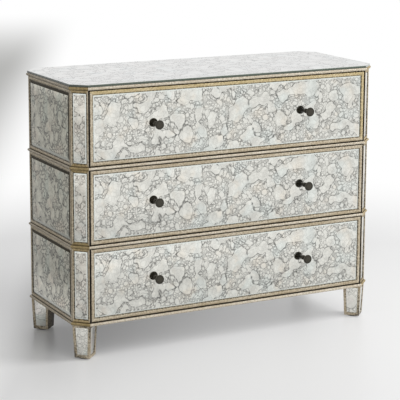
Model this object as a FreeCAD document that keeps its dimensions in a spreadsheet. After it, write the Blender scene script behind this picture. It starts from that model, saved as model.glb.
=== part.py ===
import FreeCAD, Part

import math
import os
import re

import Sketcher

# Three-drawer chest on tapered legs, faced with antiqued mirror between gilded mouldings.
#
# The row frame has +Z up, the front towards -Y and its origin on the floor, in the middle of
# the box that the whole chest fills. Everything is drawn round the middle of the case, which
# lies "setback" behind that origin, because the knobs stand out at the front.
#
# In plan the case is an octagon: a rectangle whose four corners are cut off at 45 degrees.
# The "face" outline is the outer side of the gilded frames. Behind it a core of boards and
# corner posts carries a skin of frames and mirror plates, and half-round mouldings stand
# proud of it round each level.

SIZES = {
    # the case, between its frames' outer sides
    "case_width": 1028.0,
    "case_depth": 402.0,
    "cant_leg": 40.0,
    # heights, from the floor upwards
    "leg_height": 104.0,
    "base_height": 10.0,
    "opening_height": 224.0,
    "rail_height": 9.0,
    "crown_height": 10.0,
    "glass_thickness": 6.0,
    "glass_overhang": 2.0,
    "glass_arris": 0.8,
    # the skin of frames and mirror plates
    "skin_depth": 6.0,
    "mirror_thickness": 4.0,
    "mirror_bevel_width": 3.0,
    "mirror_bevel_drop": 1.0,
    "side_bevel_width": 9.0,
    "side_bevel_drop": 1.5,
    "side_frame_width": 11.0,
    "cant_stile_width": 8.0,
    "cant_rail_width": 10.0,
    "drawer_frame_width": 12.0,
    "frame_lip_width": 2.5,
    "frame_lip_drop": 1.4,
    "frame_bevel": 1.2,
    "mitre_gap": 0.1,
    "seat_gap": 0.2,
    "nose_flat": 0.2,
    # boards of the core
    "side_thickness": 18.0,
    "post_return": 21.0,
    "back_thickness": 6.0,
    "rail_depth": 70.0,
    # runners
    "ledge_width": 28.0,
    "ledge_height": 13.0,
    "guide_thickness": 11.0,
    "guide_height": 60.0,
    # drawers
    "front_side_gap": 4.0,
    "front_end_gap": 3.0,
    "front_thickness": 16.0,
    "guide_gap": 1.0,
    "running_gap": 0.3,
    "box_side_thickness": 12.0,
    "box_height": 190.0,
    "box_back_gap": 12.0,
    "box_bottom_thickness": 5.0,
    "box_bottom_lift": 8.0,
    "groove_depth": 6.0,
    "tail_width": 26.0,
    "tail_flare": 1.8,
    "tail_length": 10.0,
    # knobs and their screws
    "knob_spacing": 516.0,
    "knob_radius": 14.0,
    "knob_projection": 28.0,
    "knob_edge": 1.6,
    "knob_crown": 1.2,
    "knob_flare": 4.0,
    "neck_radius": 4.5,
    "neck_length": 13.0,
    "rosette_radius": 8.0,
    "rosette_thickness": 2.5,
    "screw_radius": 2.0,
    "screw_gap": 0.3,
    "screw_grip": 14.0,
    "screw_head_radius": 4.0,
    "screw_head_height": 2.4,
    # legs
    "leg_foot": 48.0,
    "inset_border": 8.0,
    "inset_head_border": 7.0,
    "inset_foot_border": 9.0,
    "inset_thickness": 3.0,
    "inset_recess": 1.0,
    "dowel_radius": 6.0,
    "dowel_depth": 30.0,
    "glide_radius": 19.0,
    "glide_height": 4.0,
}

# Sizes that follow from the ones above, written in the same words.
DERIVED = {
    "half_width": "case_width / 2",
    "half_depth": "case_depth / 2",
    "root_two": "sqrt(2)",
    # run of a mitre for each unit that an outline moves outwards at a 45 degree corner
    "mitre": "tan(45 / 2)",
    # where the front meets the canted corner, and where the canted corner meets the side
    "shoulder": "half_width - cant_leg",
    "flank": "half_depth - cant_leg",
    "cant_width": "cant_leg * root_two",
    "core_x": "half_width - skin_depth",
    "core_y": "half_depth - skin_depth",
    "core_corner_y": "half_depth - skin_depth * root_two",
    "post_end": "flank - post_return",
    "cant_middle_x": "half_width - cant_leg / 2 - skin_depth / root_two",
    "cant_middle_y": "half_depth - cant_leg / 2 - skin_depth / root_two",
    "case_bottom": "leg_height + base_height",
    "tier_pitch": "opening_height + rail_height",
    "setback": "(knob_projection - mirror_recess - glass_overhang) / 2",
    "mirror_recess": "skin_depth - mirror_thickness",
    "mirror_face": "half_depth - mirror_recess",
    # drawers, measured from the underside of their opening and from the middle of the case
    "front_half_width": "shoulder - front_side_gap",
    "front_height": "opening_height - 2 * front_end_gap",
    "front_back": "core_y - front_thickness",
    "box_half_width": "shoulder - guide_thickness - guide_gap",
    "box_inside": "box_half_width - box_side_thickness",
    "box_underside": "ledge_height + running_gap",
    "box_bottom_z": "box_underside + box_bottom_lift",
    "box_rear": "core_y - back_thickness - box_back_gap",
    "bottom_reach": "groove_depth - seat_gap",
    "screw_length": "front_thickness + mirror_thickness + screw_grip",
    "screw_bore": "screw_radius + screw_gap",
    "knob_z": "opening_height / 2",
    # legs
    "leg_top": "cant_width",
    "leg_wood": "leg_height - glide_height",
    "leg_taper": "(leg_top - leg_foot) / 2",
    "leg_slope": "sqrt(leg_wood ^ 2 + leg_taper ^ 2)",
    "leg_tilt": "atan(leg_taper / leg_wood)",
    "inset_low": "inset_foot_border",
    "inset_high": "leg_slope - inset_head_border",
    "inset_back": "inset_recess + inset_thickness",
}

TIERS = ("lower", "middle", "upper")
TAILS = 4
SIDE_TURN = 90
CANT_TURN = 45
# how far past both ends of a mitre its slot is cut, as a share of the frame's width
OVERRUN = 0.1
WORD = re.compile(r"[a-z][a-z_]*")
CLOSE = 1e-4

document = FreeCAD.newDocument("mirrored_chest")
nodes = []


def make_sheet():
    """Put every driving size in a spreadsheet, one cell and one alias each."""
    sheet = document.addObject("Spreadsheet::Sheet", "Sizes")
    for row, (name, number) in enumerate(SIZES.items(), start=1):
        sheet.set(f"A{row}", str(number))
        sheet.setAlias(f"A{row}", name)
    document.recompute()
    return sheet


def formula(text):
    """Turn a formula in the words above into one that names only cells of the sheet."""

    def spell_out(match):
        word = match.group()
        if word in SIZES:
            return f"Sizes.{word}"
        if word in DERIVED:
            return f"({formula(DERIVED[word])})"
        return word

    return WORD.sub(spell_out, text)


def value(text):
    """Work out a formula as a plain number."""
    return float(sheet.evalExpression(formula(text)))


def bind(item, path, text):
    """Tie one property of an object to a formula."""
    item.setExpression(path, formula(text))


def place(item, x="0", y="0", z="0", rotation=None):
    """Turn an object and tie its place, given from the middle of the case at the floor."""
    if rotation is not None:
        item.Placement = FreeCAD.Placement(FreeCAD.Vector(), rotation)
    bind(item, "Placement.Base.x", x)
    bind(item, "Placement.Base.y", f"setback + {y}")
    bind(item, "Placement.Base.z", z)


def upright(turn):
    """Rotation that stands a drawing on edge, facing the front, and turns it about Z."""
    stand = FreeCAD.Rotation(FreeCAD.Vector(1, 0, 0), 90)
    return FreeCAD.Rotation(FreeCAD.Vector(0, 0, 1), turn) * stand


def node(item):
    """List an object as one of the chest's sub-parts, labelled with its own name."""
    item.Label = item.Name
    nodes.append(item)
    return item


# ---------------------------------------------------------------- drawing tools


def new_body(name):
    """Start a body that may hold several separate solids."""
    body = document.addObject("PartDesign::Body", name)
    body.AllowCompound = True
    return body


def origin_feature(body, role):
    """Find a body's own origin plane or axis by its role."""
    return next(item for item in body.Origin.OriginFeatures if item.Role == role)


def pin(sketch, edge, x, y):
    """Tie the start of an edge to the sketch's origin by two bound distances."""
    for axis, kind, text in ((-2, "DistanceX", x), (-1, "DistanceY", y)):
        if text == "0":
            sketch.addConstraint(Sketcher.Constraint("PointOnObject", edge, 1, axis))
            continue
        distance = Sketcher.Constraint(kind, -1, 1, edge, 1, value(text))
        index = sketch.addConstraint(distance)
        bind(sketch, f"Constraints[{index}]", text)


def draw(body, name, plane, loops):
    """Sketch closed outlines, each a list of corners given as two formulas."""
    sketch = body.newObject("Sketcher::SketchObject", name)
    sketch.AttachmentSupport = [(origin_feature(body, plane), "")]
    sketch.MapMode = "FlatFace"
    for corners in loops:
        first = sketch.GeometryCount
        points = [FreeCAD.Vector(value(x), value(y), 0) for x, y in corners]
        for start, end in zip(points, points[1:] + points[:1]):
            sketch.addGeometry(Part.LineSegment(start, end), False)
        for index, (x, y) in enumerate(corners):
            following = first + (index + 1) % len(corners)
            joined = Sketcher.Constraint("Coincident", first + index, 2, following, 1)
            sketch.addConstraint(joined)
            pin(sketch, first + index, x, y)
    return sketch


def rectangle(x0, x1, y0, y1):
    """Corners of a rectangle, from four formulas."""
    return [(x0, y0), (x1, y0), (x1, y1), (x0, y1)]


def mirror_loop(corners):
    """The same outline on the other side of the sketch's vertical axis."""
    return [(f"-({x})", y) for x, y in reversed(corners)]


def pad(body, sketch, length):
    """Raise a sketch to a solid."""
    feature = body.newObject("PartDesign::Pad", f"{sketch.Name}_pad")
    feature.Profile = sketch
    bind(feature, "Length", length)
    document.recompute()
    return feature


def cut_through(body, sketch):
    """Cut a sketch out of a body, all the way through on both sides."""
    before = body.Shape.Volume
    feature = body.newObject("PartDesign::Pocket", f"{sketch.Name}_cut")
    feature.Profile = sketch
    feature.Type = "ThroughAll"
    feature.Midplane = True
    document.recompute()
    if body.Shape.Volume > before - CLOSE:
        raise RuntimeError(f"{feature.Name} cuts nothing")
    return feature


def edges_where(shape, test):
    """Names of the edges whose two ends and middle all pass a test."""
    names = []
    for index, edge in enumerate(shape.Edges, start=1):
        middle = edge.valueAt((edge.FirstParameter + edge.LastParameter) / 2)
        ends = [vertex.Point for vertex in edge.Vertexes]
        if all(test(point) for point in [middle, *ends]):
            names.append(f"Edge{index}")
    return names


def dress(body, kind, size_name, size, test):
    """Fillet or chamfer the edges of the body's last feature that pass a test."""
    base = body.Tip
    feature = body.newObject(f"PartDesign::{kind}", f"{body.Name}_{kind.lower()}")
    feature.Base = (base, edges_where(base.Shape, test))
    bind(feature, size_name, size)
    document.recompute()
    return feature


def grind(body, width, drop):
    """Bevel the upper rim of a flat plate by a width along its face and a drop down its edge."""
    face = body.Shape.BoundBox.ZMax
    bevel = dress(body, "Chamfer", "Size", drop, lambda point: abs(point.z - face) < CLOSE)
    bevel.ChamferType = "Two distances"
    bind(bevel, "Size2", width)
    document.recompute()
    return bevel


def repeat_tiers(body, axis):
    """Repeat a body's whole shape once for each tier of drawers."""
    feature = body.newObject("PartDesign::LinearPattern", f"{body.Name}_tiers")
    feature.TransformMode = "Whole shape"
    feature.Direction = (origin_feature(body, axis), [""])
    bind(feature, "Length", f"tier_pitch * {len(TIERS) - 1}")
    feature.Occurrences = len(TIERS)
    body.Tip = feature
    document.recompute()


def board(name, x0, x1, y0, y1, z0, z1):
    """Rectangular board between six planes."""
    box = document.addObject("Part::Box", name)
    bind(box, "Length", f"({x1}) - ({x0})")
    bind(box, "Width", f"({y1}) - ({y0})")
    bind(box, "Height", f"({z1}) - ({z0})")
    place(box, x0, f"({y0})", z0)
    return box


def group(name, items):
    """Gather separate solids into one object."""
    compound = document.addObject("Part::Compound", name)
    compound.Links = items
    return compound


def difference(name, base, tool):
    """Cut one object out of another."""
    cut = document.addObject("Part::Cut", name)
    cut.Base = base
    cut.Tool = tool
    return cut


def union(name, base, tool):
    """Join two objects into one, without a seam between them."""
    fused = document.addObject("Part::Fuse", name)
    fused.Base = base
    fused.Tool = tool
    fused.Refine = True
    return fused


def mirrored(name, source, across):
    """Mirror an object left to right, or front to back about the middle of the case."""
    copy = document.addObject("Part::Mirroring", name)
    copy.Source = source
    copy.Normal = FreeCAD.Vector(1, 0, 0) if across == "x" else FreeCAD.Vector(0, 1, 0)
    bind(copy, "Base.y", "setback")
    return copy


def tier_floor(tier):
    """Height of the underside of one drawer opening."""
    return f"case_bottom + tier_pitch * {tier}"


# ---------------------------------------------------------------- the case


def octagon(offset):
    """Plan corners of the face outline moved outwards by a formula, from front right round."""
    near = f"shoulder + mitre * ({offset})"
    wide = f"half_width + ({offset})"
    deep = f"half_depth + ({offset})"
    side = f"flank + mitre * ({offset})"
    right = [(near, f"-({deep})"), (wide, f"-({side})"), (wide, side), (near, deep)]
    return right + mirror_loop(right)


def plan_body(name, loops, height, floor):
    """Body raised from outlines in plan, standing at a given height."""
    body = new_body(name)
    pad(body, draw(body, f"{name}_plan", "XY_Plane", loops), height)
    place(body, z=floor)
    return body


def make_plates():
    """The glass top and the two boards that close the case above and below."""
    ceiling = f"{tier_floor(len(TIERS) - 1)} + opening_height"
    core = "0 - skin_depth"
    dowels = make_dowels()
    bottom = plan_body("bottom_blank", [octagon(core)], "base_height", "leg_height")
    node(difference("bottom_board", bottom, dowels))
    node(plan_body("top_board", [octagon(core)], "crown_height", ceiling))
    glass_floor = f"{ceiling} + crown_height"
    glass = plan_body("glass_top", [octagon("glass_overhang")], "glass_thickness", glass_floor)
    top = value("glass_thickness")
    dress(glass, "Chamfer", "Size", "glass_arris", lambda p: abs(p.z - top) < CLOSE)
    node(glass)


def make_dowels():
    """Glued dowels that run down through the bottom board into the middle of each leg."""
    dowel = document.addObject("Part::Cylinder", "leg_dowel")
    bind(dowel, "Radius", "dowel_radius")
    bind(dowel, "Height", "base_height + dowel_depth")
    place(dowel, "shoulder", "-(flank)", "leg_height - dowel_depth")
    return node(four_corners("leg_dowels", dowel))


def make_core():
    """Sides, corner posts, rails between the drawers and the back."""
    floor = tier_floor(0)
    ceiling = f"{tier_floor(len(TIERS) - 1)} + opening_height"
    height = f"({ceiling}) - ({floor})"
    inner = "core_x - side_thickness"
    ends = ("0 - post_end", "post_end")
    side = node(board("right_side_board", inner, "core_x", *ends, floor, ceiling))
    node(mirrored("left_side_board", side, "x"))
    section = [
        ("shoulder", "-(core_corner_y)"),
        ("core_x", "-(flank - mitre * skin_depth)"),
        ("core_x", "-(post_end)"),
        ("shoulder", "-(post_end)"),
    ]
    post = plan_body("front_right_post", [section], height, floor)
    make_corners(post, "post")
    rail_section = [
        ("shoulder - mitre * skin_depth", "-(core_y)"),
        ("shoulder", "-(core_corner_y)"),
        ("shoulder", "-(core_y - rail_depth)"),
    ]
    rail_section = rail_section + mirror_loop(rail_section)
    for tier in range(1, len(TIERS)):
        under = f"{tier_floor(tier)} - rail_height"
        node(plan_body(f"{TIERS[tier]}_drawer_rail", [rail_section], "rail_height", under))
    back_face = "core_y - back_thickness"
    node(board("back_panel", "0 - shoulder", "shoulder", back_face, "core_y", floor, ceiling))


def make_corners(front_right, what):
    """List a front right piece and mirror it to the other three corners."""
    node(front_right)
    front_left = node(mirrored(f"front_left_{what}", front_right, "x"))
    node(mirrored(f"rear_right_{what}", front_right, "y"))
    node(mirrored(f"rear_left_{what}", front_left, "y"))


def make_moulding(name, height, floor):
    """Half-round moulding in seven mitred lengths, round all sides but the back."""
    proud = f"(({height}) / 2)"
    joint = "mitre_gap / 2"
    slant = "mitre_gap / 2 / root_two"
    inner_near = "shoulder - mitre * skin_depth"
    inner_side = "flank - mitre * skin_depth"
    outer_near = f"shoulder + mitre * {proud}"
    outer_side = f"flank + mitre * {proud}"
    outer_x = f"half_width + {proud}"
    outer_y = f"half_depth + {proud}"
    front_half = [
        (f"{outer_near} - {joint}", f"-({outer_y})"),
        (f"{inner_near} - {joint}", "-(core_y)"),
    ]
    front = front_half + mirror_loop(front_half)
    front_cant = [
        (f"{outer_near} + {slant}", f"-({outer_y} - {slant})"),
        (f"{outer_x} - {slant}", f"-({outer_side} + {slant})"),
        (f"core_x - {slant}", f"-({inner_side} + {slant})"),
        (f"{inner_near} + {slant}", f"-(core_y - {slant})"),
    ]
    side = [
        (outer_x, f"-({outer_side} - {joint})"),
        (outer_x, f"{outer_side} - {joint}"),
        ("core_x", f"{inner_side} - {joint}"),
        ("core_x", f"-({inner_side} - {joint})"),
    ]
    rear_cant = [
        (f"core_x - {slant}", f"{inner_side} + {slant}"),
        (f"{outer_x} - {slant}", f"{outer_side} + {slant}"),
        (f"shoulder + {proud} * root_two", "half_depth"),
        ("shoulder", "half_depth"),
        ("shoulder", "core_corner_y"),
    ]
    right = [front_cant, side, rear_cant]
    left = [mirror_loop(loop) for loop in right]
    body = plan_body(name, [front, *right, *left], height, floor)
    reach = value(proud) - CLOSE

    def on_nose(point):
        """Whether a point lies on the moulding's outermost line."""
        x, y = abs(point.x), abs(point.y)
        corner = (x + y - value("half_width + flank")) / math.sqrt(2)
        return max(x - value("half_width"), y - value("half_depth"), corner) > reach

    dress(body, "Fillet", "Radius", f"({height} - nose_flat) / 2", on_nose)
    node(body)


def make_mouldings():
    """The base moulding, one moulding at each rail and one under the glass."""
    make_moulding("base_moulding", "base_height", "leg_height")
    for tier in range(1, len(TIERS)):
        floor = f"{tier_floor(tier)} - rail_height"
        make_moulding(f"{TIERS[tier]}_rail_moulding", "rail_height", floor)
    ceiling = f"{tier_floor(len(TIERS) - 1)} + opening_height"
    make_moulding("crown_moulding", "crown_height", ceiling)


# ---------------------------------------------------------------- frames and mirror plates


def make_frame(name, width, height, stile, rail, left_bevel="0", right_bevel="0"):
    """Picture frame of four mitred lengths with a lip round the plate.

    It is drawn flat, its middle foot at the origin and its back at Z 0. A bevel is how far
    the back of an upright edge lies inside its face, where two frames meet at a corner.
    """
    half = f"(({width}) / 2)"
    body = new_body(name)
    outer = rectangle(f"-{half}", half, "0", height)

    def inner(grow):
        """Sight edge of the frame, moved into the frame by a formula."""
        x = f"{half} - {stile} + {grow}"
        return rectangle(f"-({x})", x, f"{rail} - {grow}", f"{height} - {rail} + {grow}")

    lip = draw(body, f"{name}_lip", "XY_Plane", [outer, inner("0")])
    pad(body, lip, "skin_depth - frame_lip_drop")
    crown = draw(body, f"{name}_crown", "XY_Plane", [outer, inner("frame_lip_width")])
    pad(body, crown, "skin_depth")
    bevels = []
    for side, bevel in (("-", left_bevel), ("", right_bevel)):
        if bevel == "0":
            continue
        bevels.append([
            (f"{side}{half}", "skin_depth"),
            (f"{side}{half}", "0"),
            (f"{side}({half} - {bevel})", "0"),
        ])
    if bevels:
        cut_through(body, draw(body, f"{name}_bevels", "XZ_Plane", bevels))
    face = value("skin_depth")
    dress(body, "Chamfer", "Size", "frame_bevel", lambda p: abs(p.z - face) < CLOSE)
    slots = mitre_slots(half, height, stile, rail)
    cut_through(body, draw(body, f"{name}_mitres", "XY_Plane", slots))
    return body


def mitre_slots(half, height, stile, rail):
    """Hairline joints from a frame's outer corners to its inner ones, run past both ends."""
    slots = []
    joint = "mitre_gap / 2"
    for side in ("-", ""):
        for foot in (True, False):
            ends = []
            for along in (f"-{OVERRUN}", f"{1 + OVERRUN}"):
                x = f"{half} - {stile} * {along}"
                rise = f"{rail} * {along}"
                ends.append((x, rise if foot else f"{height} - {rise}"))
            (x0, y0), (x1, y1) = ends
            slots.append([
                (f"{side}({x0} - {joint})", y0),
                (f"{side}({x0} + {joint})", y0),
                (f"{side}({x1} + {joint})", y1),
                (f"{side}({x1} - {joint})", y1),
            ])
    return slots


def make_mirror(name, width, height, stile, rail, bevel="mirror_bevel"):
    """Mirror plate with ground edges that lies inside a frame's sight edge with a small gap."""
    half = f"(({width}) / 2 - {stile} - seat_gap)"
    foot = f"{rail} + seat_gap"
    outline = rectangle(f"-{half}", half, foot, f"{height} - {rail} - seat_gap")
    body = new_body(name)
    pad(body, draw(body, f"{name}_outline", "XY_Plane", [outline]), "mirror_thickness")
    grind(body, f"{bevel}_width", f"{bevel}_drop")
    return body


def make_side_skins():
    """Frames and mirror plates of the two sides, one above the other for each tier."""
    width = "2 * flank"
    sizes = (width, "opening_height", "side_frame_width", "side_frame_width")
    bevel = "mitre * skin_depth"
    frames = make_frame("right_side_frames", *sizes, bevel, bevel)
    mirrors = make_mirror("right_side_mirrors", *sizes, bevel="side_bevel")
    for body, what in ((frames, "frames"), (mirrors, "mirrors")):
        repeat_tiers(body, "Y_Axis")
        place(body, x="core_x", z=tier_floor(0), rotation=upright(SIDE_TURN))
        node(body)
        node(mirrored(f"left_side_{what}", body, "x"))


def make_cant_skins():
    """Frames and mirror plates of the four canted corners."""
    sizes = ("cant_width", "opening_height", "cant_stile_width", "cant_rail_width")
    frames = make_frame("front_right_cant_frames", *sizes, "skin_depth", "mitre * skin_depth")
    mirrors = make_mirror("front_right_cant_mirrors", *sizes)
    for body in (frames, mirrors):
        repeat_tiers(body, "Y_Axis")
        place(body, "cant_middle_x", "-(cant_middle_y)", tier_floor(0), upright(CANT_TURN))
    make_corners(frames, "cant_frames")
    left = mirrored("front_left_cant_mirrors", mirrors, "x")
    front = node(group("front_cant_mirrors", [mirrors, left]))
    node(mirrored("rear_cant_mirrors", front, "y"))


# ---------------------------------------------------------------- legs


def leg_plate(name, sink, rise):
    """Tapered plate on a leg's front face, from one depth to another along its normal."""
    plate = document.addObject("Part::Wedge", name)
    bind(plate, "Ymin", "inset_low")
    bind(plate, "Ymax", "inset_high")
    for end, along in (("", "inset_low"), ("2", "inset_high")):
        half = f"((leg_foot / 2 + leg_taper * ({along}) / leg_slope) - inset_border)"
        bind(plate, f"X{end}min", f"-{half}")
        bind(plate, f"X{end}max", half)
        bind(plate, f"Z{end}min", f"-({sink})")
        bind(plate, f"Z{end}max", rise)
    plate.Placement.Rotation = FreeCAD.Rotation(FreeCAD.Vector(1, 0, 0), 90)
    bind(plate, "Placement.Rotation.Angle", "90 deg + leg_tilt")
    bind(plate, "Placement.Base.y", "-(leg_foot / 2)")
    return plate


def three_faces(name, plate):
    """A leg's plate on its outer face and on the two faces beside it."""
    copies = [plate]
    for side, turn in (("left", -SIDE_TURN), ("right", SIDE_TURN)):
        link = document.addObject("App::Link", f"{plate.Name}_{side}")
        link.LinkedObject = plate
        link.LinkTransform = True
        about = FreeCAD.Rotation(FreeCAD.Vector(0, 0, 1), turn)
        link.LinkPlacement = FreeCAD.Placement(FreeCAD.Vector(), about)
        copies.append(link)
    document.recompute()
    return group(name, copies)


def make_legs():
    """Square tapered legs turned 45 degrees, with mirror insets and round glides."""
    blank = document.addObject("Part::Wedge", "leg_blank")
    bind(blank, "Ymin", "0")
    bind(blank, "Ymax", "leg_wood")
    for axis in ("X", "Z"):
        for end, width in (("", "leg_foot"), ("2", "leg_top")):
            bind(blank, f"{axis}{end}min", f"-({width} / 2)")
            bind(blank, f"{axis}{end}max", f"{width} / 2")
    blank.Placement = FreeCAD.Placement(FreeCAD.Vector(), upright(0))
    recess = three_faces("leg_recesses", leg_plate("leg_recess", "inset_back", "inset_thickness"))
    insets = three_faces("leg_insets", leg_plate("leg_inset", "inset_back", "-(inset_recess)"))
    bore = document.addObject("Part::Cylinder", "leg_bore")
    bind(bore, "Radius", "dowel_radius")
    bind(bore, "Height", "dowel_depth")
    bind(bore, "Placement.Base.z", "leg_wood - dowel_depth")
    leg = difference("front_right_leg", blank, group("leg_cuts", [recess, bore]))
    turn = FreeCAD.Rotation(FreeCAD.Vector(0, 0, 1), CANT_TURN)
    for item in (leg, insets):
        place(item, "shoulder", "-(flank)", "glide_height", turn)
    make_corners(leg, "leg")
    glide = document.addObject("Part::Cylinder", "leg_glide")
    bind(glide, "Radius", "glide_radius")
    bind(glide, "Height", "glide_height")
    place(glide, "shoulder", "-(flank)")
    node(four_corners("leg_mirrors", insets))
    node(four_corners("leg_glides", glide))


def four_corners(name, front_right):
    """One object that holds a front right piece and its mirror images at the other corners."""
    front_left = mirrored(f"{name}_front_left", front_right, "x")
    rear_right = mirrored(f"{name}_rear_right", front_right, "y")
    rear_left = mirrored(f"{name}_rear_left", front_left, "y")
    return group(name, [front_right, front_left, rear_right, rear_left])


# ---------------------------------------------------------------- runners and drawers


def make_runners():
    """Guides with a ledge that the drawers ride on, their front ends serving as stops."""
    section = [
        ("shoulder - ledge_width", "0"),
        ("shoulder", "0"),
        ("shoulder", "guide_height"),
        ("shoulder - guide_thickness", "guide_height"),
        ("shoulder - guide_thickness", "ledge_height"),
        ("shoulder - ledge_width", "ledge_height"),
    ]
    body = new_body("right_runners")
    rear = "core_y - back_thickness"
    length = f"{rear} + front_back - running_gap"
    pad(body, draw(body, "runner_section", "XZ_Plane", [section]), length)
    repeat_tiers(body, "Z_Axis")
    place(body, y=f"({rear})", z=tier_floor(0))
    node(body)
    node(mirrored("left_runners", body, "x"))


def screw_holes(name, tier):
    """Cylinders where the two knob screws pass through a drawer's front and mirror."""
    hole = document.addObject("Part::Cylinder", f"{name}_right")
    bind(hole, "Radius", "screw_bore")
    bind(hole, "Height", "2 * (front_thickness + skin_depth)")
    height = f"{tier_floor(tier)} + knob_z"
    place(hole, "knob_spacing / 2", "0 - front_back + front_thickness", height, upright(0))
    return group(name, [hole, mirrored(f"{name}_left", hole, "x")])


def make_knobs(name, tier):
    """Two turned mushroom knobs on the mirror plate and the screws that hold them."""
    profile = [
        ("screw_bore", "0"),
        ("rosette_radius", "0"),
        ("rosette_radius", "rosette_thickness"),
        ("neck_radius", "rosette_thickness + (rosette_radius - neck_radius) / 2"),
        ("neck_radius", "neck_length"),
        ("knob_radius", "neck_length + knob_flare"),
        ("knob_radius", "knob_projection - knob_crown - knob_edge"),
        ("knob_radius - knob_edge", "knob_projection - knob_crown"),
        ("0", "knob_projection"),
        ("0", "screw_grip + screw_gap"),
        ("screw_bore", "screw_grip + screw_gap"),
    ]
    knob = new_body(f"{name}_knob")
    revolve(knob, draw(knob, f"{name}_knob_profile", "XY_Plane", [profile]))
    shank = [
        ("0", "0 - screw_head_height"),
        ("screw_head_radius", "0 - screw_head_height"),
        ("screw_head_radius", "0"),
        ("screw_radius", "0"),
        ("screw_radius", "screw_length"),
        ("0", "screw_length"),
    ]
    screw = new_body(f"{name}_screw")
    revolve(screw, draw(screw, f"{name}_screw_profile", "XY_Plane", [shank]))
    outwards = FreeCAD.Rotation(FreeCAD.Vector(0, 0, 1), 2 * SIDE_TURN)
    for body, what, y in ((knob, "knobs", "-(mirror_face)"), (screw, "knob_screws", "-(front_back)")):
        place(body, "knob_spacing / 2", y, f"{tier_floor(tier)} + knob_z", outwards)
        node(group(f"{name}_{what}", [body, mirrored(f"{name}_left_{what}", body, "x")]))


def revolve(body, sketch):
    """Turn a profile about the sketch's vertical axis."""
    feature = body.newObject("PartDesign::Revolution", f"{sketch.Name}_turned")
    feature.Profile = sketch
    feature.ReferenceAxis = (sketch, ["V_Axis"])
    feature.Angle = 360
    document.recompute()


def dovetails(name, under):
    """Tails at the front end of a drawer's right side, wider at their tips than at their roots."""
    tails = []
    for number in range(TAILS):
        centre = f"box_height * {(number + 0.5) / TAILS}"
        root = f"({centre} - tail_width / 2)", f"({centre} + tail_width / 2)"
        tip = f"{root[0]} - tail_flare", f"{root[1]} + tail_flare"
        reach = "0 - tail_length"
        tails.append([("0", root[0]), (reach, tip[0]), (reach, tip[1]), ("0", root[1])])
    body = new_body(f"{name}_tails")
    pad(body, draw(body, f"{name}_tails_outline", "YZ_Plane", tails), "box_side_thickness")
    place(body, "box_inside", "-(front_back)", under)
    return body


def make_drawer(tier):
    """One drawer: a dovetailed box behind a board that carries a gilded frame and a mirror."""
    name = f"{TIERS[tier]}_drawer"
    floor = tier_floor(tier)
    low = f"{floor} + front_end_gap"
    under = f"{floor} + box_underside"
    rim = f"{under} + box_height"
    panel_z = f"{floor} + box_bottom_z"
    panel_top = f"{panel_z} + box_bottom_thickness"
    groove_x = "box_inside + groove_depth"
    front_y = "0 - front_back"
    groove = board(
        f"{name}_groove", f"-({groove_x})", groove_x,
        f"{front_y} - groove_depth", "box_rear + groove_depth",
        panel_z, f"{panel_top} + seat_gap",
    )
    holes = screw_holes(f"{name}_holes", tier)
    blank = board(
        f"{name}_blank", "0 - front_half_width", "front_half_width",
        "0 - core_y", front_y, low, f"{low} + front_height",
    )
    tails = dovetails(name, under)
    sockets = group(f"{name}_sockets", [tails, mirrored(f"{name}_left_tails", tails, "x")])
    cuts = group(f"{name}_cuts", [groove, holes])
    board_with_groove = difference(f"{name}_front_board", blank, cuts)
    node(difference(f"{name}_front", board_with_groove, sockets))
    frame_sizes = ("2 * front_half_width", "front_height", "drawer_frame_width", "drawer_frame_width")
    frame = make_frame(f"{name}_frame", *frame_sizes)
    mirror = make_mirror(f"{name}_plate", *frame_sizes)
    for body in (frame, mirror):
        place(body, "0", "-(core_y)", low, upright(0))
    node(frame)
    node(difference(f"{name}_mirror", mirror, holes))
    plank = board(
        f"{name}_plank", "box_inside", "box_half_width", front_y, "box_rear", under, rim
    )
    right = difference(f"{name}_right_side", union(f"{name}_tailed_plank", plank, tails), groove)
    node(group(f"{name}_sides", [right, mirrored(f"{name}_left_side", right, "x")]))
    back_y = "box_rear - box_side_thickness"
    width = ("0 - box_inside", "box_inside")
    node(board(f"{name}_back", *width, back_y, "box_rear", panel_top, rim))
    reach = "box_inside + bottom_reach"
    node(board(
        f"{name}_bottom", f"-({reach})", reach,
        f"{front_y} - bottom_reach", "box_rear", panel_z, panel_top,
    ))
    make_knobs(name, tier)


# ---------------------------------------------------------------- checks and files


def write_parts():
    """Check every object of the document, then write one STEP file for each sub-part."""
    document.recompute()
    for item in document.Objects:
        if "Invalid" in item.State or "Error" in item.State:
            raise RuntimeError(f"{item.Name} failed: {item.State}")
    os.makedirs("parts", exist_ok=True)
    for item in nodes:
        if item.Shape.isNull() or not item.Shape.isValid() or not item.Shape.Solids:
            raise RuntimeError(f"{item.Label} has no valid solid")
        item.Shape.exportStep(os.path.join("parts", f"{item.Label}.step"))
        print(f"{item.Label}: {len(item.Shape.Solids)} solids, {item.Shape.Volume:.0f} mm3")
    print(f"{len(nodes)} sub-parts")


sheet = make_sheet()
make_plates()
make_core()
make_mouldings()
make_side_skins()
make_cant_skins()
make_legs()
make_runners()
for number in range(len(TIERS)):
    make_drawer(number)
write_parts()
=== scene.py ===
"""Looks of a chest of three drawers, faced with antiqued mirror between gilded mouldings.

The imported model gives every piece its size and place. Gilded bars, mirror plates, legs and
turned knobs are made again here as finer surfaces in the same places. The boards, posts,
drawer boxes, runners, dowels, glides and screws keep their solids and get a finish.
"""
import logging
import math
from collections.abc import Mapping, Sequence
from dataclasses import dataclass, replace
from enum import Enum, IntEnum
from functools import cache, reduce

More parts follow.
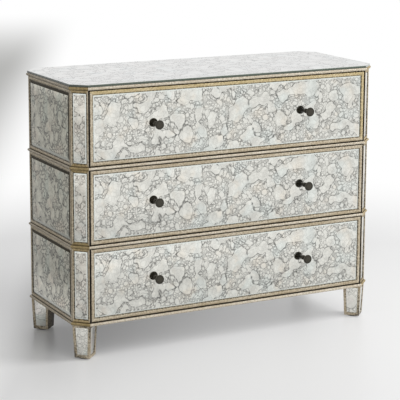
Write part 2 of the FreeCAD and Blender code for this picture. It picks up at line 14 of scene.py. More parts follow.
import bmesh
import bpy
import numpy as np
from mathutils import Euler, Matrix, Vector


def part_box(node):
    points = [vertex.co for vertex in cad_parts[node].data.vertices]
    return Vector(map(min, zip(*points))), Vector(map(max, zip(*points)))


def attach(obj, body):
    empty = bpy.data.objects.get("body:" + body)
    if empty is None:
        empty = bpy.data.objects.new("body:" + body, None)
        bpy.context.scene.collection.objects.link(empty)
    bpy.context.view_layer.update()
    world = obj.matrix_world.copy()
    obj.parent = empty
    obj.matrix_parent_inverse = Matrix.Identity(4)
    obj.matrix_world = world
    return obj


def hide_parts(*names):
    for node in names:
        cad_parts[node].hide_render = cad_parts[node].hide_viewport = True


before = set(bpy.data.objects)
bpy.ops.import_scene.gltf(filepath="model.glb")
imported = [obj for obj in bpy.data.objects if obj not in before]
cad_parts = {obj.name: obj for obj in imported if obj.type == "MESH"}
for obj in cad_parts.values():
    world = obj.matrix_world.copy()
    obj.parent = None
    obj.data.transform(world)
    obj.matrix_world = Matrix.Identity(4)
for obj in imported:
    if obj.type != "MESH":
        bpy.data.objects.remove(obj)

log = logging.getLogger("chest")

Array = np.ndarray
Socket = bpy.types.NodeSocket
Tree = bpy.types.NodeTree
Triple = tuple[float, float, float]
Colour = Triple
Value = float | Triple | Socket
Inputs = Mapping[str | int, Value]
# left, right, low and high limits in the plane of a flat piece
Limits = tuple[float, float, float, float]

TIERS = ("lower", "middle", "upper")
MOULDINGS = ("base_moulding", "middle_rail_moulding", "upper_rail_moulding", "crown_moulding")
MM = 0.001
UP: Array = np.array([0.0, 0.0, 1.0])
# depth of the frames and mouldings in front of the boards
SKIN = 6.0 * MM
# run of a mitre at the case's 45 degree corners, for each unit outwards
CORNER_MITRE = math.tan(math.radians(22.5))
# points closer than a seam are one, and edges sharper than this angle stay sharp
SEAM = 1e-6
SHARP = math.radians(32.0)
ONES: Triple = (1.0, 1.0, 1.0)
HALVES: Triple = (0.5, 0.5, 0.5)


# ---------------------------------------------------------------- node graphs


class Graph:
    """A node tree with short calls that add, feed and join its nodes."""

    # the Mix node repeats its inputs and its result for each kind of value; these are the colours'
    MIX_FIRST = 6
    MIX_SECOND = 7
    MIX_RESULT = 2

    def __init__(self, tree: Tree) -> None:
        """Work on the node tree of a material, a world or a group."""
        self.tree = tree

    def add(self, kind: str, inputs: Inputs | None = None, **settings: object) -> bpy.types.Node:
        """Add a node.

        Args:
            kind: the node's type name.
            inputs: values or sockets for its inputs, by name or number.
            **settings: properties of the node itself.

        Returns:
            The new node.
        """
        node = self.tree.nodes.new(kind)
        for name, value in settings.items():
            setattr(node, name, value)
        for name, value in (inputs or {}).items():
            self.feed(node.inputs[name], value)
        return node

    def feed(self, socket: Socket, value: Value) -> None:
        """Set an input to a value, or join it to another node's output.

        Args:
            socket: the input.
            value: a number, a vector, a colour or another node's output.
        """
        if isinstance(value, bpy.types.NodeSocket):
            self.tree.links.new(value, socket)
        elif isinstance(value, tuple) and socket.type == "RGBA":
            socket.default_value = (*value, 1.0)
        else:
            socket.default_value = value

    def group(self, tree: Tree, inputs: Inputs) -> Mapping[str, Socket]:
        """Add a node group and give its outputs by name."""
        return self.add("ShaderNodeGroup", inputs, node_tree=tree).outputs

    def math(self, operation: str, *values: Value, clamp: bool = False) -> Socket:
        """Work out a number by a Math node's operation, kept between 0 and 1 if clamp is set."""
        inputs = dict(enumerate(values))
        return self.add("ShaderNodeMath", inputs, operation=operation, use_clamp=clamp).outputs[0]

    def vector(self, operation: str, first: Value, second: Value | None = None) -> Socket:
        """Work out a vector, or for DOT_PRODUCT and LENGTH a number.

        Args:
            operation: the Vector Math node's operation.
            first: vector or socket.
            second: vector or socket, and for SCALE a number; none for LENGTH.

        Returns:
            The result's socket.
        """
        node = self.add("ShaderNodeVectorMath", {0: first}, operation=operation)
        if second is not None:
            self.feed(node.inputs["Scale" if operation == "SCALE" else 1], second)
        return node.outputs["Value" if operation in ("DOT_PRODUCT", "LENGTH") else "Vector"]

    def between(self, value: Value, low: float, high: float, start: Value = 0.0, end: Value = 1.0) -> Socket:
        """Map a number smoothly to start, at and below low, or to end, at and above high."""
        inputs = {"Value": value, "From Min": low, "From Max": high, "To Min": start, "To Max": end}
        return self.add("ShaderNodeMapRange", inputs, interpolation_type="SMOOTHSTEP").outputs["Result"]

    def mix(self, factor: Value, first: Value, second: Value, blend: str = "MIX") -> Socket:
        """Mix two colours.

        Args:
            factor: share of the second colour.
            first: colour or socket.
            second: colour or socket.
            blend: how the second one acts on the first.

        Returns:
            The mixed colour's socket.
        """
        inputs = {"Factor": factor, self.MIX_FIRST: first, self.MIX_SECOND: second}
        node = self.add("ShaderNodeMix", inputs, data_type="RGBA", blend_type=blend)
        return node.outputs[self.MIX_RESULT]

    def channels(self, colour: Socket) -> tuple[Socket, ...]:
        """A colour's red, green and blue."""
        return tuple(self.add("ShaderNodeSeparateColor", {0: colour}).outputs)

    def noise(
        self, place: Value, scale: float, detail: float = 2.0, roughness: float = 0.5, seed: float = 0.0
    ) -> bpy.types.Node:
        """Cloudy noise of "scale" waves per metre; another seed gives another pattern."""
        inputs = {"Vector": place, "W": seed, "Scale": scale, "Detail": detail, "Roughness": roughness}
        return self.add("ShaderNodeTexNoise", inputs, noise_dimensions="4D")

    def cloud(self, place: Value, scale: float, *more: float, seed: float = 0.0) -> Socket:
        """One number of the noise, with its detail and roughness as "more"."""
        return self.noise(place, scale, *more, seed=seed).outputs["Fac"]

    def bump(self, height: Socket, depth: float) -> Socket:
        """Normal of a surface that a pattern between 0 and 1 raises by a depth in metres."""
        return self.add("ShaderNodeBump", {"Strength": 1.0, "Distance": depth, "Height": height}).outputs[0]


def blank(owner: bpy.types.Material | bpy.types.World) -> Graph:
    """Give a material or a world an empty graph.

    Args:
        owner: the material or world.

    Returns:
        The graph.
    """
    owner.use_nodes = True
    owner.node_tree.nodes.clear()
    return Graph(owner.node_tree)


def node_group(
    name: str, inputs: dict[str, str], outputs: dict[str, str]
) -> tuple[Graph, dict[str, Socket]]:
    """Start a shader node group.

    Args:
        name: the group's name.
        inputs: socket name to kind, such as Float, Vector or Color.
        outputs: socket name to kind.

    Returns:
        The group's graph, and its input sockets by name.
    """
    tree = bpy.data.node_groups.new(name, "ShaderNodeTree")
    for names, side in ((inputs, "INPUT"), (outputs, "OUTPUT")):
        for label, kind in names.items():
            tree.interface.new_socket(label, in_out=side, socket_type=f"NodeSocket{kind}")
    graph = Graph(tree)
    return graph, {socket.name: socket for socket in graph.add("NodeGroupInput").outputs if socket.name}


def close_group(graph: Graph, **results: Socket) -> Tree:
    """Join a group's results to its outputs of the same names and give the group."""
    graph.add("NodeGroupOutput", results)
    return graph.tree


@cache
def foam_group() -> Tree:
    """Rounded bubbles that lie apart, as in silvering that has pulled back into drops.

    The distance to the nearest scattered point, after a gentle warp, is compared with a
    radius that swells and shrinks in clouds, so that every outline closes. Inside is 1,
    outside 0, and the outline is a thin band round that radius.

    Returns:
        The node group.
    """
    sizes = dict.fromkeys(("Scale", "Radius", "Spread", "Line", "Warp"), "Float")
    outputs = {"Inside": "Float", "Outline": "Float"}
    graph, given = node_group("Foam", {"Position": "Vector", **sizes}, outputs)
    place, scale = given["Position"], given["Scale"]
    clouds = {"Vector": place, "Scale": graph.math("MULTIPLY", scale, 0.9), "Detail": 1.5}
    wander = graph.add("ShaderNodeTexNoise", clouds).outputs["Color"]
    offset = graph.vector("SUBTRACT", wander, HALVES)
    swell = graph.between(graph.channels(wander)[2], 0.32, 0.68, -0.5, 0.5)
    reach = graph.math("DIVIDE", given["Warp"], scale)
    warped = graph.vector("ADD", place, graph.vector("SCALE", offset, reach))
    points = {"Vector": warped, "Scale": scale, "Randomness": 0.75}
    cells = graph.add("ShaderNodeTexVoronoi", points, voronoi_dimensions="2D", feature="F1")
    radius = graph.math("MULTIPLY_ADD", given["Spread"], swell, given["Radius"])
    depth = graph.math("SUBTRACT", radius, cells.outputs["Distance"])
    edge = graph.math("DIVIDE", depth, given["Line"])
    inside = graph.math("ADD", graph.math("MULTIPLY", edge, 0.5), 0.5, clamp=True)
    outline = graph.math("SUBTRACT", 1.0, graph.math("ABSOLUTE", graph.math("ADD", edge, 0.6)), clamp=True)
    return close_group(graph, Inside=inside, Outline=outline)


@dataclass(frozen=True)
class Bubbles:
    """One size of bubbles in the silvering.

    There are "scale" bubbles to the metre. Their mean radius, its spread and the width of
    their outline are shares of the distance between them, and so is the warp that pushes them
    about. Pale is the tone inside, and ink is how dark the outline is.
    """

    scale: float
    radius: float
    spread: float
    line: float
    warp: float
    pale: float
    ink: float

    def lay(self, graph: Graph, place: Socket, tone: Socket, share: Value) -> Socket:
        """Lay the bubbles over a tone.

        Args:
            graph: the graph to work in.
            place: the position in metres.
            tone: the tone below them.
            share: how strongly they show.

        Returns:
            The tone with the bubbles.
        """
        sizes = {"Scale": self.scale, "Radius": self.radius, "Spread": self.spread, "Line": self.line}
        foam = graph.group(foam_group(), {"Position": place, "Warp": self.warp, **sizes})
        tone = lerp(graph, graph.math("MULTIPLY", foam["Inside"], share), tone, self.pale)
        return inked(graph, tone, foam["Outline"], graph.math("MULTIPLY", share, self.ink))


FINE_BUBBLES = Bubbles(scale=108.0, radius=0.25, spread=0.24, line=0.18, warp=0.3, pale=1.0, ink=0.17)
MIDDLE_BUBBLES = Bubbles(scale=66.0, radius=0.28, spread=0.26, line=0.10, warp=0.35, pale=0.96, ink=0.21)
LARGE_BUBBLES = Bubbles(scale=40.0, radius=0.27, spread=0.28, line=0.06, warp=0.45, pale=0.95, ink=0.24)


def bent(graph: Graph, place: Socket, scale: float, reach: float) -> Socket:
    """Bend a position by cloudy noise.

    Args:
        graph: the graph to work in.
        place: the position in metres.
        scale: waves per metre.
        reach: width of the bend in metres.

    Returns:
        The bent position.
    """
    wander = graph.noise(place, scale, 1.5).outputs["Color"]
    offset = graph.vector("SUBTRACT", wander, HALVES)
    return graph.vector("ADD", place, graph.vector("SCALE", offset, reach))


def lerp(graph: Graph, factor: Value, first: Value, second: Value) -> Socket:
    """Blend two numbers: the first plus the factor times their difference."""
    return graph.math("MULTIPLY_ADD", graph.math("SUBTRACT", second, first), factor, first)


def inked(graph: Graph, tone: Socket, line: Socket, ink: Value, clamp: bool = False) -> Socket:
    """Darken a tone by the ink where a line is."""
    return graph.math("SUBTRACT", tone, graph.math("MULTIPLY", line, ink), clamp=clamp)


def level_line(graph: Graph, field: Socket, level: float, width: float) -> Socket:
    """Thin line where a field is near a level: 1 on it and 0 at a width from it."""
    away = graph.math("ABSOLUTE", graph.math("SUBTRACT", field, level))
    return graph.math("SUBTRACT", 1.0, graph.math("DIVIDE", away, width), clamp=True)


@cache
def silvering_group() -> Tree:
    """Antiqued silvering: pale lobed islands and rings of bubbles in a grey ground.

    Islands lie where a blend of soft cells and cloudy noise is above 0, and thin grey lines
    follow its level curves. Bubbles of three sizes crowd the ground between them.

    Returns:
        The node group, whose tone goes from 0, black, to 1, the palest silver, by eye.
    """
    graph, given = node_group("Silvering", {"Position": "Vector"}, {"Tone": "Float", "Tint": "Color"})
    still = given["Position"]
    place = bent(graph, bent(graph, still, scale=13.0, reach=0.030), scale=48.0, reach=0.007)
    points = {"Vector": place, "Scale": 18.0, "Smoothness": 0.25, "Randomness": 1.0}
    cells = graph.add("ShaderNodeTexVoronoi", points, voronoi_dimensions="2D", feature="SMOOTH_F1")
    swirl = graph.math("MULTIPLY", graph.math("SUBTRACT", graph.cloud(place, 22.0, 1.3), 0.5), 1.7)
    field = graph.math("ADD", graph.math("SUBTRACT", 0.35, cells.outputs["Distance"]), swirl)
    shore = -0.02
    shallows = -0.15
    stroke = 0.036
    tone = graph.between(graph.cloud(place, 34.0, 3.0, 0.6), 0.36, 0.64, 0.82, 0.94)
    worms = graph.cloud(place, 62.0, 1.0, seed=8.0)
    for level in (0.43, 0.56):
        tone = inked(graph, tone, level_line(graph, worms, level, width=0.034), ink=0.13)
    busy = graph.between(graph.cloud(still, 20.0, 1.0, seed=2.0), 0.38, 0.58)
    tone = FINE_BUBBLES.lay(graph, place, tone, share=busy)
    tone = MIDDLE_BUBBLES.lay(graph, place, tone, share=0.9)
    tone = LARGE_BUBBLES.lay(graph, place, tone, share=0.9)
    drift = graph.between(graph.cloud(place, 35.0, 3.0, seed=4.0), 0.34, 0.66, 0.89, 0.99)
    island = graph.math("MULTIPLY", graph.between(field, shore, 0.04), 0.78)
    tone = lerp(graph, island, tone, drift)
    tone = inked(graph, tone, level_line(graph, field, shore, stroke), ink=0.28)
    tone = inked(graph, tone, level_line(graph, field, shallows, stroke), ink=0.11, clamp=True)
    tint = graph.noise(still, 16.0, 2.0, seed=6.0).outputs["Color"]
    return close_group(graph, Tone=tone, Tint=tint)


@cache
def leaf_group() -> Tree:
    """Metal leaf over wood: slow patches, speckles, streaks along the bar, and hollows darkened by glazing
    and painted shade.

    The position runs along the bar in X and round it in Y. Streaks come from noise that is
    drawn out along X. Dark glazing, partly painted shade, lies where the grime input is high, with a ragged
    edge.

    Returns:
        The node group.
    """
    outputs = dict.fromkeys(("Patch", "Speckle", "Streak", "Glaze", "Height"), "Float")
    graph, given = node_group("Rubbed leaf", {"Position": "Vector", "Dirt": "Float"}, outputs)
    place = given["Position"]
    patch = graph.cloud(graph.vector("MULTIPLY", place, (1.0, 3.0, 1.0)), 9.0, 3.0, 0.6)
    speckle = graph.cloud(place, 170.0, 3.0, 0.65, seed=3.0)
    streak = graph.cloud(graph.vector("MULTIPLY", place, (0.06, 1.0, 1.0)), 420.0, seed=5.0)
    fine = graph.cloud(place, 700.0, 2.0, 0.6, seed=7.0)
    ragged = graph.math("MULTIPLY_ADD", graph.math("SUBTRACT", speckle, 0.5), 0.9, given["Dirt"])
    return close_group(
        graph,
        Patch=graph.between(patch, 0.36, 0.64),
        Speckle=graph.between(speckle, 0.42, 0.60),
        Streak=graph.between(streak, 0.42, 0.60),
        Glaze=graph.between(ragged, 0.45, 0.85),
        Height=graph.math("MULTIPLY_ADD", speckle, 0.6, graph.math("MULTIPLY", fine, 0.4)),
    )


@cache
def grain_group() -> Tree:
    """Wood grain along one direction: long soft bands with fine pores.

    Returns:
        The node group.
    """
    inputs = {"Position": "Vector", "Stretch": "Vector"}
    graph, given = node_group("Grain", inputs, {"Band": "Float", "Pore": "Float"})
    drawn = graph.vector("MULTIPLY", given["Position"], given["Stretch"])
    swirl = graph.vector("SCALE", ONES, graph.cloud(drawn, 6.0))
    waves = {"Vector": graph.vector("ADD", drawn, swirl), "Scale": 18.0, "Detail": 4.0}
    wave = graph.add("ShaderNodeTexNoise", waves).outputs["Fac"]
    pore = graph.cloud(drawn, 160.0, seed=2.0)
    return close_group(graph, Band=graph.between(wave, 0.3, 0.7), Pore=graph.between(pore, 0.55, 0.7))


# ---------------------------------------------------------------- finishes


class Place(Enum):
    """Where a finish reads its pattern."""

    OBJECT = "Object"
    SURFACE = "UV"


class Glass(IntEnum):
    """Parts of a mirror plate, by their number in its list of finishes."""

    FACE = 0
    BEVEL = 1
    # a bevel tinted near black as painted reflection
    SHADED = 2
    EDGE = 3


class Leaf(IntEnum):
    """Leaf of a gilded length, by its number in the piece's list of finishes. Apart from the main leaf, they
    pick copies of it tinted as painted light and painted shade.
    """

    MAIN = 0
    OTHER = 1
    SIDE = 2


def scaled(colour: Colour, share: float) -> Colour:
    """A colour made darker or lighter by a share."""
    return tuple(share * part for part in colour)


@dataclass(frozen=True)
class Finish:
    """What every finish has: a name and where its pattern is read."""

    name: str
    place: Place = Place.OBJECT

    def material(self) -> bpy.types.Material:
        """Give the finish's material, built when it is first asked for.

        Returns:
            The material.
        """
        made = bpy.data.materials.get(self.name)
        if made:
            return made
        made = bpy.data.materials.new(self.name)
        graph = blank(made)
        place = graph.add("ShaderNodeTexCoord").outputs[self.place.value]
        shader = graph.add("ShaderNodeBsdfPrincipled", self.paint(graph, place))
        graph.add("ShaderNodeOutputMaterial", {"Surface": shader.outputs[0]})
        return made

    def paint(self, graph: Graph, place: Socket) -> Inputs:
        """Work out the shader's inputs; each finish has its own way."""
        raise NotImplementedError


@dataclass(frozen=True)
class AntiqueMirror(Finish):
    """Mottled silvering behind clear glass."""

    place: Place = Place.SURFACE
    pale: Colour = (0.86, 0.855, 0.795)
    warm: Colour = (0.885, 0.845, 0.755)
    cool: Colour = (0.83, 0.86, 0.815)
    gloss: float = 0.6
    contrast: float = 2.2

    def paint(self, graph: Graph, place: Socket) -> Inputs:
        """Pale where the silver holds, grey and duller where it is veined.

        Args:
            graph: the material's graph.
            place: where the pattern is read.

        Returns:
            The shader's inputs.
        """
        pattern = graph.group(silvering_group(), {"Position": place})
        return {
            "Base Color": self.silver(graph, pattern["Tone"], pattern["Tint"]),
            "Metallic": 1.0,
            "Roughness": graph.between(pattern["Tone"], 0.6, 0.95, 0.22, 0.05),
            "Coat Weight": self.gloss,
            "Coat Roughness": 0.02,
        }

    def silver(self, graph: Graph, tone: Socket, tint: Socket) -> Socket:
        """Colour of the silvering: the palest silver, tinted in clouds, times the tone as light.

        Args:
            graph: the material's graph.
            tone: the silvering's tone.
            tint: noise for its warm and cool clouds.

        Returns:
            The colour's socket.
        """
        light = graph.math("POWER", tone, self.contrast)
        red, green, _ = graph.channels(tint)
        base = graph.mix(graph.between(red, 0.50, 0.66), self.pale, self.warm)
        base = graph.mix(graph.between(green, 0.50, 0.66), base, self.cool)
        return graph.mix(1.0, base, light, "MULTIPLY")


@dataclass(frozen=True)
class GlassEdge(Finish):
    """Ground and polished edge of a mirror plate."""

    tint: Colour = (0.80, 0.84, 0.80)
    roughness: float = 0.12
    metallic: float = 0.9
    gloss: float = 1.0
    specular: float = 0.5

    def paint(self, graph: Graph, place: Socket) -> Inputs:
        """One tint, with faint streaks of the grinding.

        Args:
            graph: the material's graph.
            place: where the pattern is read.

        Returns:
            The shader's inputs.
        """
        streak = graph.between(graph.cloud(place, 300.0, 2.0, 0.6), 0.35, 0.7, 0.0, 0.35)
        return {
            "Base Color": graph.mix(streak, self.tint, scaled(self.tint, 0.6)),
            "Metallic": self.metallic,
            "Roughness": self.roughness,
            "Specular IOR Level": self.specular,
            "Coat Weight": self.gloss,
        }


@dataclass(frozen=True)
class GoldLeaf(Finish):
    """Champagne-coloured leaf over wood, speckled and streaked, with dark glazing and painted shade in its
    hollows and at its edges.
    """

    place: Place = Place.SURFACE
    leaf: Colour = (0.52, 0.43, 0.29)
    light: Colour = (0.74, 0.67, 0.54)
    toned: Colour = (0.27, 0.205, 0.115)
    glaze: Colour = (0.028, 0.021, 0.012)

    def paint(self, graph: Graph, place: Socket) -> Inputs:
        """Leaf in patches, with speckles of toner, rubbed streaks, and dark glazing with painted shade where
        the grime attribute is high.

        Args:
            graph: the material's graph.
            place: where the pattern is read.

        Returns:
            The shader's inputs.
        """
        # painted shade: this attribute, partly real glazing, darkens the leaf to near black in hollows, at
        # outer edges and in gaps
        dirt = graph.add("ShaderNodeAttribute", attribute_name="dirt").outputs["Fac"]
        mask = graph.group(leaf_group(), {"Position": place, "Dirt": dirt})
        colour = graph.mix(graph.math("MULTIPLY", mask["Patch"], 0.6), self.leaf, self.light)
        colour = graph.mix(graph.math("MULTIPLY", mask["Streak"], 0.35), colour, self.light)
        colour = graph.mix(graph.math("MULTIPLY", mask["Speckle"], 0.5), colour, self.toned)
        return {
            "Base Color": graph.mix(mask["Glaze"], colour, self.glaze),
            "Metallic": graph.between(mask["Glaze"], 0.0, 1.0, 0.4, 0.0),
            "Roughness": graph.between(mask["Speckle"], 0.0, 1.0, 0.38, 0.55),
            "Normal": graph.bump(mask["Height"], 0.0004),
        }


@dataclass(frozen=True)
class Bronze(Finish):
    """Dark patinated bronze, lighter where hands have rubbed it."""

    patina: Colour = (0.030, 0.028, 0.022)
    rubbed: Colour = (0.105, 0.096, 0.074)

    def paint(self, graph: Graph, place: Socket) -> Inputs:
        """Patina in soft clouds, lighter where the wear is high.

        Args:
            graph: the material's graph.
            place: where the pattern is read.

        Returns:
            The shader's inputs.
        """
        wear = graph.add("ShaderNodeAttribute", attribute_name="dirt").outputs["Fac"]
        cloud = graph.cloud(place, 220.0, 3.0, 0.6)
        bare = graph.between(graph.math("MULTIPLY_ADD", cloud, 0.5, wear), 0.2, 1.1)
        return {
            "Base Color": graph.mix(bare, self.patina, self.rubbed),
            "Metallic": 0.7,
            "Roughness": graph.between(cloud, 0.3, 0.7, 0.26, 0.42),
            "Normal": graph.bump(cloud, 0.0001),
        }


@dataclass(frozen=True)
class Timber(Finish):
    """Wood with grain along one direction, clear or stained."""

    light: Colour = (0.52, 0.38, 0.23)
    dark: Colour = (0.32, 0.20, 0.11)
    stretch: Triple = (0.12, 1.0, 1.0)
    roughness: float = 0.45

    def paint(self, graph: Graph, place: Socket) -> Inputs:
        """Bands of grain with darker pores.

        Args:
            graph: the material's graph.
            place: where the pattern is read.

        Returns:
            The shader's inputs.
        """
        grain = graph.group(grain_group(), {"Position": place, "Stretch": self.stretch})
        band, pore = grain["Band"], grain["Pore"]
        colour = graph.mix(band, self.light, self.dark)
        return {
            "Base Color": graph.mix(graph.math("MULTIPLY", pore, 0.5), colour, scaled(self.dark, 0.5)),
            "Roughness": graph.between(band, 0.0, 1.0, self.roughness, self.roughness + 0.15),
            "Normal": graph.bump(pore, -0.0002),
        }


@dataclass(frozen=True)
class Paint(Finish):
    """Thin paint on board, a little uneven and dusty."""

    colour: Colour = (0.045, 0.036, 0.028)
    roughness: float = 0.6

    def paint(self, graph: Graph, place: Socket) -> Inputs:
        """Brushed tone with a fine tooth.

        Args:
            graph: the material's graph.
            place: where the pattern is read.

        Returns:
            The shader's inputs.
        """
        cloud = graph.between(graph.cloud(place, 12.0, 3.0, 0.6), 0.35, 0.7)
        tooth = graph.cloud(place, 500.0, 2.0, 0.6, seed=4.0)
        return {
            "Base Color": graph.mix(cloud, self.colour, scaled(self.colour, 1.7)),
            "Roughness": graph.between(tooth, 0.3, 0.7, self.roughness - 0.1, self.roughness + 0.15),
            "Normal": graph.bump(tooth, 0.0002),
        }


@dataclass(frozen=True)
class Steel(Finish):
    """Zinc-plated steel of the screws."""

    colour: Colour = (0.55, 0.55, 0.54)

    def paint(self, graph: Graph, place: Socket) -> Inputs:
        """Bright metal with cloudy plating.

        Args:
            graph: the material's graph.
            place: where the pattern is read.

        Returns:
            The shader's inputs.
        """
        cloud = graph.cloud(place, 700.0)
        return {
            "Base Color": graph.mix(cloud, self.colour, scaled(self.colour, 0.7)),
            "Metallic": 1.0,
            "Roughness": graph.between(cloud, 0.3, 0.7, 0.25, 0.4),
        }


MIRROR = AntiqueMirror("antique mirror")
# painted shade: darker copies of the one silvering, warmer on the sides, for the top, the sides and the
# canted corners, matched to how dim each face looks
TOP_MIRROR = AntiqueMirror(
    "top mirror", pale=(0.66, 0.66, 0.64), warm=(0.67, 0.65, 0.63), cool=(0.63, 0.66, 0.65), gloss=0.3
)
SIDE_MIRROR = AntiqueMirror(
    "side mirror", pale=(0.91, 0.885, 0.75), warm=(0.93, 0.85, 0.71), cool=(0.86, 0.89, 0.77), contrast=4.2
)
CANT_MIRROR = AntiqueMirror(
    "cant mirror", pale=(0.82, 0.79, 0.71), warm=(0.83, 0.77, 0.69), cool=(0.79, 0.79, 0.73)
)
LEG_MIRROR = AntiqueMirror(
    "leg mirror", pale=(0.84, 0.83, 0.77), warm=(0.86, 0.80, 0.76), cool=(0.80, 0.84, 0.78), contrast=1.2
)
BEVEL = GlassEdge("ground bevel")
# painted shade: a darker copy of the ground bevel for the side plates' bottom and rear edges
SIDE_BEVEL = GlassEdge("dull bevel", tint=(0.52, 0.53, 0.47), roughness=0.2)
# painted reflection: near black, standing in for the dark surroundings that the side plates' top and front
# bevels reflect
SHADED_BEVEL = GlassEdge(
    "shaded bevel", tint=(0.07, 0.058, 0.038), roughness=0.5, metallic=0.0, gloss=0.0, specular=0.1
)
PLATE_EDGE = GlassEdge("plate edge", tint=(0.10, 0.10, 0.08), roughness=0.3, metallic=0.0)
TOP_ARRIS = GlassEdge("top arris", tint=(0.25, 0.29, 0.24), roughness=0.15, metallic=0.0)
TOP_EDGE = GlassEdge("top edge", tint=(0.04, 0.065, 0.04), roughness=0.15, metallic=0.0)
GOLD = GoldLeaf("champagne leaf")
# painted light: a brighter, yellower copy of the leaf for the upper drawer's top rail and right stile
LIT_OCHRE = GoldLeaf("ochre leaf", leaf=(0.58, 0.46, 0.235), light=(0.80, 0.68, 0.45), toned=(0.33, 0.25, 0.11))
# painted light: a paler copy of the leaf for the mouldings' front lengths
LIT_CREAM = GoldLeaf("cream leaf", leaf=(0.62, 0.54, 0.42), light=(0.82, 0.77, 0.66), toned=(0.38, 0.31, 0.20))
# painted shade: a darker, greener copy of the leaf for the mouldings' corner lengths and the canted frames'
# rails
SHADED_OLIVE = GoldLeaf("olive leaf", leaf=(0.35, 0.26, 0.11), light=(0.60, 0.47, 0.27), toned=(0.17, 0.125, 0.05))
# painted shade: a near-black copy of the leaf for the legs' inner faces
SHADED_UMBER = GoldLeaf(
    "umber leaf", leaf=(0.10, 0.072, 0.038), light=(0.19, 0.145, 0.085), toned=(0.045, 0.032, 0.018)
)
# painted shade: a darker copy of the leaf for the mouldings' side lengths
SIDE_SHADE_LEAF = GoldLeaf("aged leaf", leaf=(0.36, 0.305, 0.22), light=(0.52, 0.46, 0.36), toned=(0.20, 0.16, 0.105))
BRONZE = Bronze("dark bronze")

# by Glass: face, bevel, shaded bevel and edge
PLATE_FINISHES = [MIRROR, BEVEL, SHADED_BEVEL, PLATE_EDGE]
SIDE_PLATE_FINISHES = [SIDE_MIRROR, SIDE_BEVEL, SHADED_BEVEL, PLATE_EDGE]
CANT_PLATE_FINISHES = [CANT_MIRROR, BEVEL, SHADED_BEVEL, PLATE_EDGE]
LEG_PLATE_FINISHES = [LEG_MIRROR, BEVEL, SHADED_BEVEL, PLATE_EDGE]
TOP_FINISHES = [TOP_MIRROR, TOP_ARRIS, TOP_ARRIS, TOP_EDGE]
# by Leaf: the main leaf, in painted light on the mouldings' fronts; the other one, a copy in painted light
# on the upper drawer and in painted shade on the cants and the legs' inner faces; and, for the mouldings,
# the one at the sides, in painted shade
FRAME_FINISHES = [GOLD, LIT_OCHRE]
CANT_FRAME_FINISHES = [GOLD, SHADED_OLIVE]
MOULDING_FINISHES = [LIT_CREAM, SHADED_OLIVE, SIDE_SHADE_LEAF]
POST_FINISHES = [GOLD, SHADED_UMBER]

CASE_PAINT = Paint("case paint")
# finishes of the pieces that keep their solids, by the first of these words that their name holds
SOLID_FINISHES: dict[str, Finish] = {
    "knob_screws": Steel("screw steel"),
    "leg_glides": Paint("glide plastic", colour=(0.02, 0.02, 0.02), roughness=0.5),
    "leg_dowels": Timber("dowel wood", stretch=(1.0, 1.0, 0.12)),
    "runners": Timber(
        "runner wood", stretch=(1.0, 0.12, 1.0), light=(0.42, 0.29, 0.17), dark=(0.28, 0.17, 0.09)
    ),
    "back_panel": Paint("back paint", colour=(0.07, 0.055, 0.04), roughness=0.7),
    "drawer_front": Timber("front stain", light=(0.13, 0.09, 0.06), dark=(0.07, 0.045, 0.03)),
    "drawer_sides": Timber("drawer sides wood", stretch=(1.0, 0.12, 1.0)),
    "drawer_back": Timber("drawer back wood"),
    "drawer_bottom": Timber("drawer bottom wood", light=(0.60, 0.47, 0.31), dark=(0.45, 0.33, 0.2)),
    "board": CASE_PAINT,
    "post": CASE_PAINT,
    "drawer_rail": CASE_PAINT,
}


# ---------------------------------------------------------------- surfaces


@dataclass
class Surface:
    """A mesh as whole arrays: points, faces, UVs, and grime, wear and painted shade by point, slot numbers
    by face.
    """

    points: Array
    faces: list[Array]
    uv: Array
    dirt: Array
    slots: Array

    def joined(self, other: "Surface") -> "Surface":
        """Join this surface and another as separate shells.

        Args:
            other: the other surface.

        Returns:
            Both as one mesh.
        """
        start = len(self.points)
        return Surface(
            np.concatenate([self.points, other.points]),
            self.faces + [face + start for face in other.faces],
            np.concatenate([self.uv, other.uv]),
            np.concatenate([self.dirt, other.dirt]),
            np.concatenate([self.slots, other.slots]),
        )


def gather(parts: Sequence[Surface]) -> Surface:
    """Several surfaces as one mesh."""
    return reduce(Surface.joined, parts)


def put(
    name: str, surface: Surface, body: str, finishes: Sequence[Finish], slot: str, *replaced: str
) -> bpy.types.Object:
    """Make a surface into a piece of the chest.

    Args:
        name: the piece's name.
        surface: its mesh.
        body: the body it rides on.
        finishes: one finish for each of the surface's slot numbers.
        slot: the record's material slot; not used.
        *replaced: the solids it stands for.

    Returns:
        The new object.
    """
    mesh = bpy.data.meshes.new(name)
    mesh.from_pydata(surface.points.tolist(), [], [face.tolist() for face in surface.faces])
    corners = np.empty(len(mesh.loops), np.int32)
    mesh.loops.foreach_get("vertex_index", corners)
    layer = mesh.uv_layers.new(name="surface")
    layer.data.foreach_set("uv", surface.uv[corners].astype(np.float32).ravel())
    dirt = mesh.attributes.new("dirt", "FLOAT", "POINT")
    dirt.data.foreach_set("value", surface.dirt.astype(np.float32))
    mesh.polygons.foreach_set("material_index", surface.slots.astype(np.int32))
    for finish in finishes:
        mesh.materials.append(finish.material())
    weld(mesh)
    piece = bpy.data.objects.new(name, mesh)
    bpy.context.scene.collection.objects.link(piece)
    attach(piece, body)
    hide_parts(*replaced)
    log.info("%s: %d faces on %s", name, len(mesh.polygons), body)
    return piece


def weld(mesh: bpy.types.Mesh) -> None:
    """Close the seams of a mesh and smooth it across its shallow edges.

    Args:
        mesh: the mesh.
    """
    work = bmesh.new()
    work.from_mesh(mesh)
    bmesh.ops.remove_doubles(work, verts=work.verts, dist=SEAM)
    work.to_mesh(mesh)
    work.free()
    mesh.polygons.foreach_set("use_smooth", np.full(len(mesh.polygons), True))
    mesh.set_sharp_from_angle(angle=SHARP)
    mesh.update()


